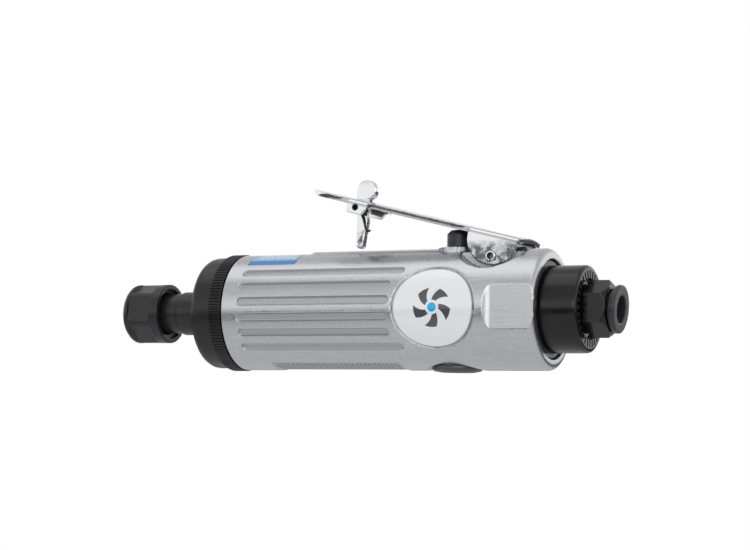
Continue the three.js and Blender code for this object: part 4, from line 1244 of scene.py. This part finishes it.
def make_roll_pin(name, centre, half_length, pin, body, material, slot, node):
    """A rolled spring pin with rounded ends and its slit on the underside."""
    radius, bore = pin["radius"], pin["bore"]
    profile = rounded([
        (-half_length, bore, 0.1), (-half_length, radius, 0.28), (half_length, radius, 0.28),
        (half_length, bore, 0.1),
    ], closed=True)
    half_slit = 0.25 / radius
    under = 3 * TURN / 4
    angles = evenly(under + half_slit - TURN, under - half_slit, lambda a: 0.12)
    block = lay_across(turned(profile, angles).transpose(1, 0, 2), centre[0], centre[2])
    count, around = block.shape[:2]
    faces = sweep_faces(count, around, False).tolist()
    faces += [list(range(around)), list(range((count - 1) * around, count * around))]
    piece = mesh_object(name, block.reshape(-1, 3), faces, 45)
    place = points_of(piece)
    from_axis = np.hypot(place[:, 0] - centre[0], place[:, 2] - centre[2])
    # marks the bore's points, which the finish paints black as shade
    mark_points(piece, "bore", from_axis < bore + 0.12)
    finish_piece(piece, body, material, slot, node)


# ------------------------------------------------------------------ valve button, regulator, exhaust, inlet
def make_throttle_button(material):
    high = span("throttle_stem")[1][2]
    radius, chamfer = 3.75, 1.3
    profile = rounded([
        (-3.2, 0), (-3.2, 1.4), (9.6, 1.4), (9.6, radius, 0.2), (11.2, radius, 0.1), (11.2, 2.55),
        (12.6, 2.55), (12.6, radius, 0.1), (high - chamfer, radius, 0.25), (high, radius - chamfer, 0.35),
        (high, 0),
    ])
    piece = swept_object("throttle_button", stand_upright(turned(profile, circle(72)), VALVE_X), False, 42)
    finish_piece(piece, "throttle_valve", material, "black_plastic", "throttle_stem")


def make_regulator(material):
    """A screwdriver-slotted disc on a barrel that turns in the housing's underside."""
    face, radius = REGULATOR["face_z"], REGULATOR["radius"]
    slot_half_width, slot_half_length, slot_depth = 0.95, 5.6, 1.1
    profile = rounded([
        (face, 0), (face, 5.6, 0.2), (face + 0.25, 5.9, 0.15), (face + 0.25, radius - 0.9, 0.2),
        (face + 0.9, radius, 0.3), (-17.2, radius), (-17.2, 6.7), (-12, 6.7), (-12, 5.7), (-10.6, 5.7),
        (-10.6, 6.7), (-8.2, 6.7), (-8.2, 5), (-15.5, 5), (-15.5, 0),
    ])
    profile = subdivided(profile, 0.22, face - 0.1, face + 0.3, closed=False)
    rings = turned(profile, circle(120))
    on_face = (profile[:, 0] < face + 0.4)[:, None]
    beside_slot, along_slot = np.abs(rings[..., 1]), np.abs(rings[..., 2])
    sunk = rise(slot_half_width - beside_slot, 0.3) * rise(slot_half_length - along_slot, 0.3)
    rings[..., 0] += np.where(on_face, slot_depth * sunk, 0)
    piece = swept_object("regulator_screw", stand_upright(rings, VALVE_X), False, 42)
    finish_piece(piece, "regulator", material, "regulator_metal", "air_regulator")


def make_exhaust_cap(material):
    """A cup whose end face has a ring of short radial vents round the inlet."""
    teeth, lines = 30, 12
    front, rear, outer = -21.5, span("exhaust_cap")[1][0], 13.3
    inner, depth = 9.2, 2.4
    vent_outer, vent_half_width, vent_depth = 11.6, 0.52, 1.15
    profile = rounded([
        (front, 12.6), (front, 15, 0.3), (front + 2, 15, 0.3), (front + 2, outer, 0.25), (rear, outer, 1.3),
        (rear, inner, 0.15), (rear - 1.3, inner, 0.1), (rear - 1.3, 7.45, 0.1), (rear - depth, 7.45),
        (rear - depth, 11.8), (front + 2, 11.8),
    ], closed=True)
    profile = subdivided(profile, 0.3, rear - 1.4, rear + 0.1)
    angles = circle(teeth * lines)
    rings = turned(profile, angles)
    radius = profile[:, 1][:, None]
    wave = np.abs((angles * teeth / TURN) % 1 - 0.5) * TURN / teeth * np.minimum(radius, 11)
    vent = rise(vent_half_width - wave, 0.22) * rise(vent_outer - radius, 0.4) * (radius > inner - 0.3)
    vent = vent * (profile[:, 0] > rear - 1.2)[:, None]
    rings[..., 0] -= vent_depth * vent
    piece = swept_object("exhaust_end_cap", rings, True, 45)
    finish_piece(piece, "root", material, "black_exhaust", "exhaust_cap")


def make_inlet_bush(material):
    """A hexagon with turned corners, screwed into the housing through the exhaust cap."""
    flats = 15.1 / 2
    corner = flats / math.cos(TURN / 12)
    front, rear = span("exhaust_cap")[1][0] + 0.3, span("inlet_bush")[1][0]
    profile = rounded([
        (-37, 4.6), (-37, 7.15, 0.4), (front, 7.15, 0.1), (front, corner + 0.4),
        (rear - 0.35, corner + 0.2, 0.2), (rear, corner - 1.3, 0.3), (rear, 5.8, 0.3), (-13, 5.8), (-13, 4.6),
    ], closed=True)
    profile = subdivided(profile, 0.4, front - 0.1, rear + 0.1)

    def hexagon(x, radius, around):
        turned_by = from_nearest(around, 6)
        cone = corner - 1.3 + np.maximum(rear - x, 0) * 1.25
        flat = smooth_min(flats / np.cos(turned_by), np.broadcast_to(cone, radius.shape), 0.12)
        return np.where((x > front - 0.05) & (radius > 6.2), smooth_min(radius, flat, 0.1), radius)

    piece = turned_object("inlet_hexagon", profile, 240, hexagon, 42)
    finish_piece(piece, "root", material, "black_inlet", "inlet_bush")


def make_thread_protector(material):
    """A hollow plug pushed a little askew into the inlet, with a double-lipped flange."""
    profile = rounded([
        (-4, 4.15), (-4, 4.9, 0.2), (0.6, 4.9), (0.6, 6.7, 0.25), (1.15, 6.7, 0.15), (1.15, 6.3), (1.4, 6.3),
        (1.4, 7.3, 0.15), (2.8, 7.3, 0.5), (2.8, 4.15, 0.35),
    ], closed=True)
    piece = swept_object("thread_plug", turn_about(turned(profile, circle(96)), math.radians(5)), True, 42)
    finish_piece(piece, "root", material, "protector_plastic", "thread_protector")


# ------------------------------------------------------------------ CAD nodes that stay, with better finishes
def refinish(materials):
    kept = {
        "steel": """
            front_plate cylinder_liner rear_plate alignment_pin wave_washer front_bearing_outer
            front_bearing_inner rear_bearing_outer rear_bearing_inner front_spacer valve_spring regulator_clip
        """,
        "bright": "front_bearing_balls rear_bearing_balls",
        "brass": "stem_bush valve_seat inlet_screen",
        "rubber": "stem_o_ring regulator_o_ring valve_poppet cap_gasket",
        "felt": "dust_seal muffler",
        "laminate": "vane_1 vane_2 vane_3 vane_4 vane_5",
    }
    for look, names in kept.items():
        for name in names.split():
            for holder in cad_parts[name].material_slots:
                holder.material = materials[look]


# ------------------------------------------------------------------ the whole scene
bpy.context.scene.view_settings.view_transform = "Standard"
add_camera()
add_world()
add_floor()
add_light("ceiling", (-0.10, -0.12, 0.75), (1.1, 0.55), 1.3)
add_light("front_fill", (0.30, -0.9, 0.16), (0.9, 0.3), 1.0)

black = black_steel("black_oxide")
black_ring = black_steel("black_clamp_ring", 0.010, 0.33)
black_end = black_steel("black_anodised_end", 0.006, 0.20, 0.42)
wire_black = black_steel("black_wire", 0.02, 0.3, turned_marks=False)
chrome = plated("nickel_plate")
# the lever's finish has a painted dark reflection low on its side flaps
lever_chrome = plated("lever_plate", painted_reflection_heights=(0.0212, 0.0188))
bright_pin = pin_finish("plated_pin", NICKEL, 0.16, 1.0)
black_pin = pin_finish("blackened_pin", (0.025, 0.025, 0.028), 0.3, 0.0)
shared = {
    "steel": steel("ground_steel"),
    "bright": steel("polished_steel", (0.62, 0.62, 0.64), 0.15),
    "brass": steel("turned_brass", (0.56, 0.40, 0.15), 0.3),
    "rubber": moulded("nitrile_rubber", (0.02, 0.02, 0.021), 0.7),
    "felt": felt(),
    "laminate": laminate(),
}

make_housing(cast_aluminium())
badge_material = badge_finish()
make_badge("badge_disc_near", -1, badge_material, "badge_near")
make_badge("badge_disc_far", 1, badge_material, "badge_far")
make_panels(label_finish(), etched_finish())
make_front_cap(black_ring)
make_collet_nut(black)
make_spindle(black)
make_collet(shared["steel"])
make_lever(lever_chrome)
make_latch(chrome)
make_latch_spring(wire_black)
make_roll_pin(
    "latch_roll_pin", latch_origin(), EDGE + 0.1, LATCH_PIN, "lever", black_pin, "black_wire", "latch_pin",
)
make_roll_pin("lever_roll_pin", PIVOT, EDGE + 0.4, LEVER_PIN, "root", bright_pin, "pin_steel", "lever_pin")
make_throttle_button(moulded("black_acetal", (0.022, 0.022, 0.025), 0.35))
make_regulator(steel("dark_metal", (0.12, 0.12, 0.13), 0.38, (600, 600, 60)))
make_exhaust_cap(black_end)
make_inlet_bush(black_end)
make_thread_protector(moulded("black_nylon", (0.03, 0.03, 0.033), 0.35))
refinish(shared)
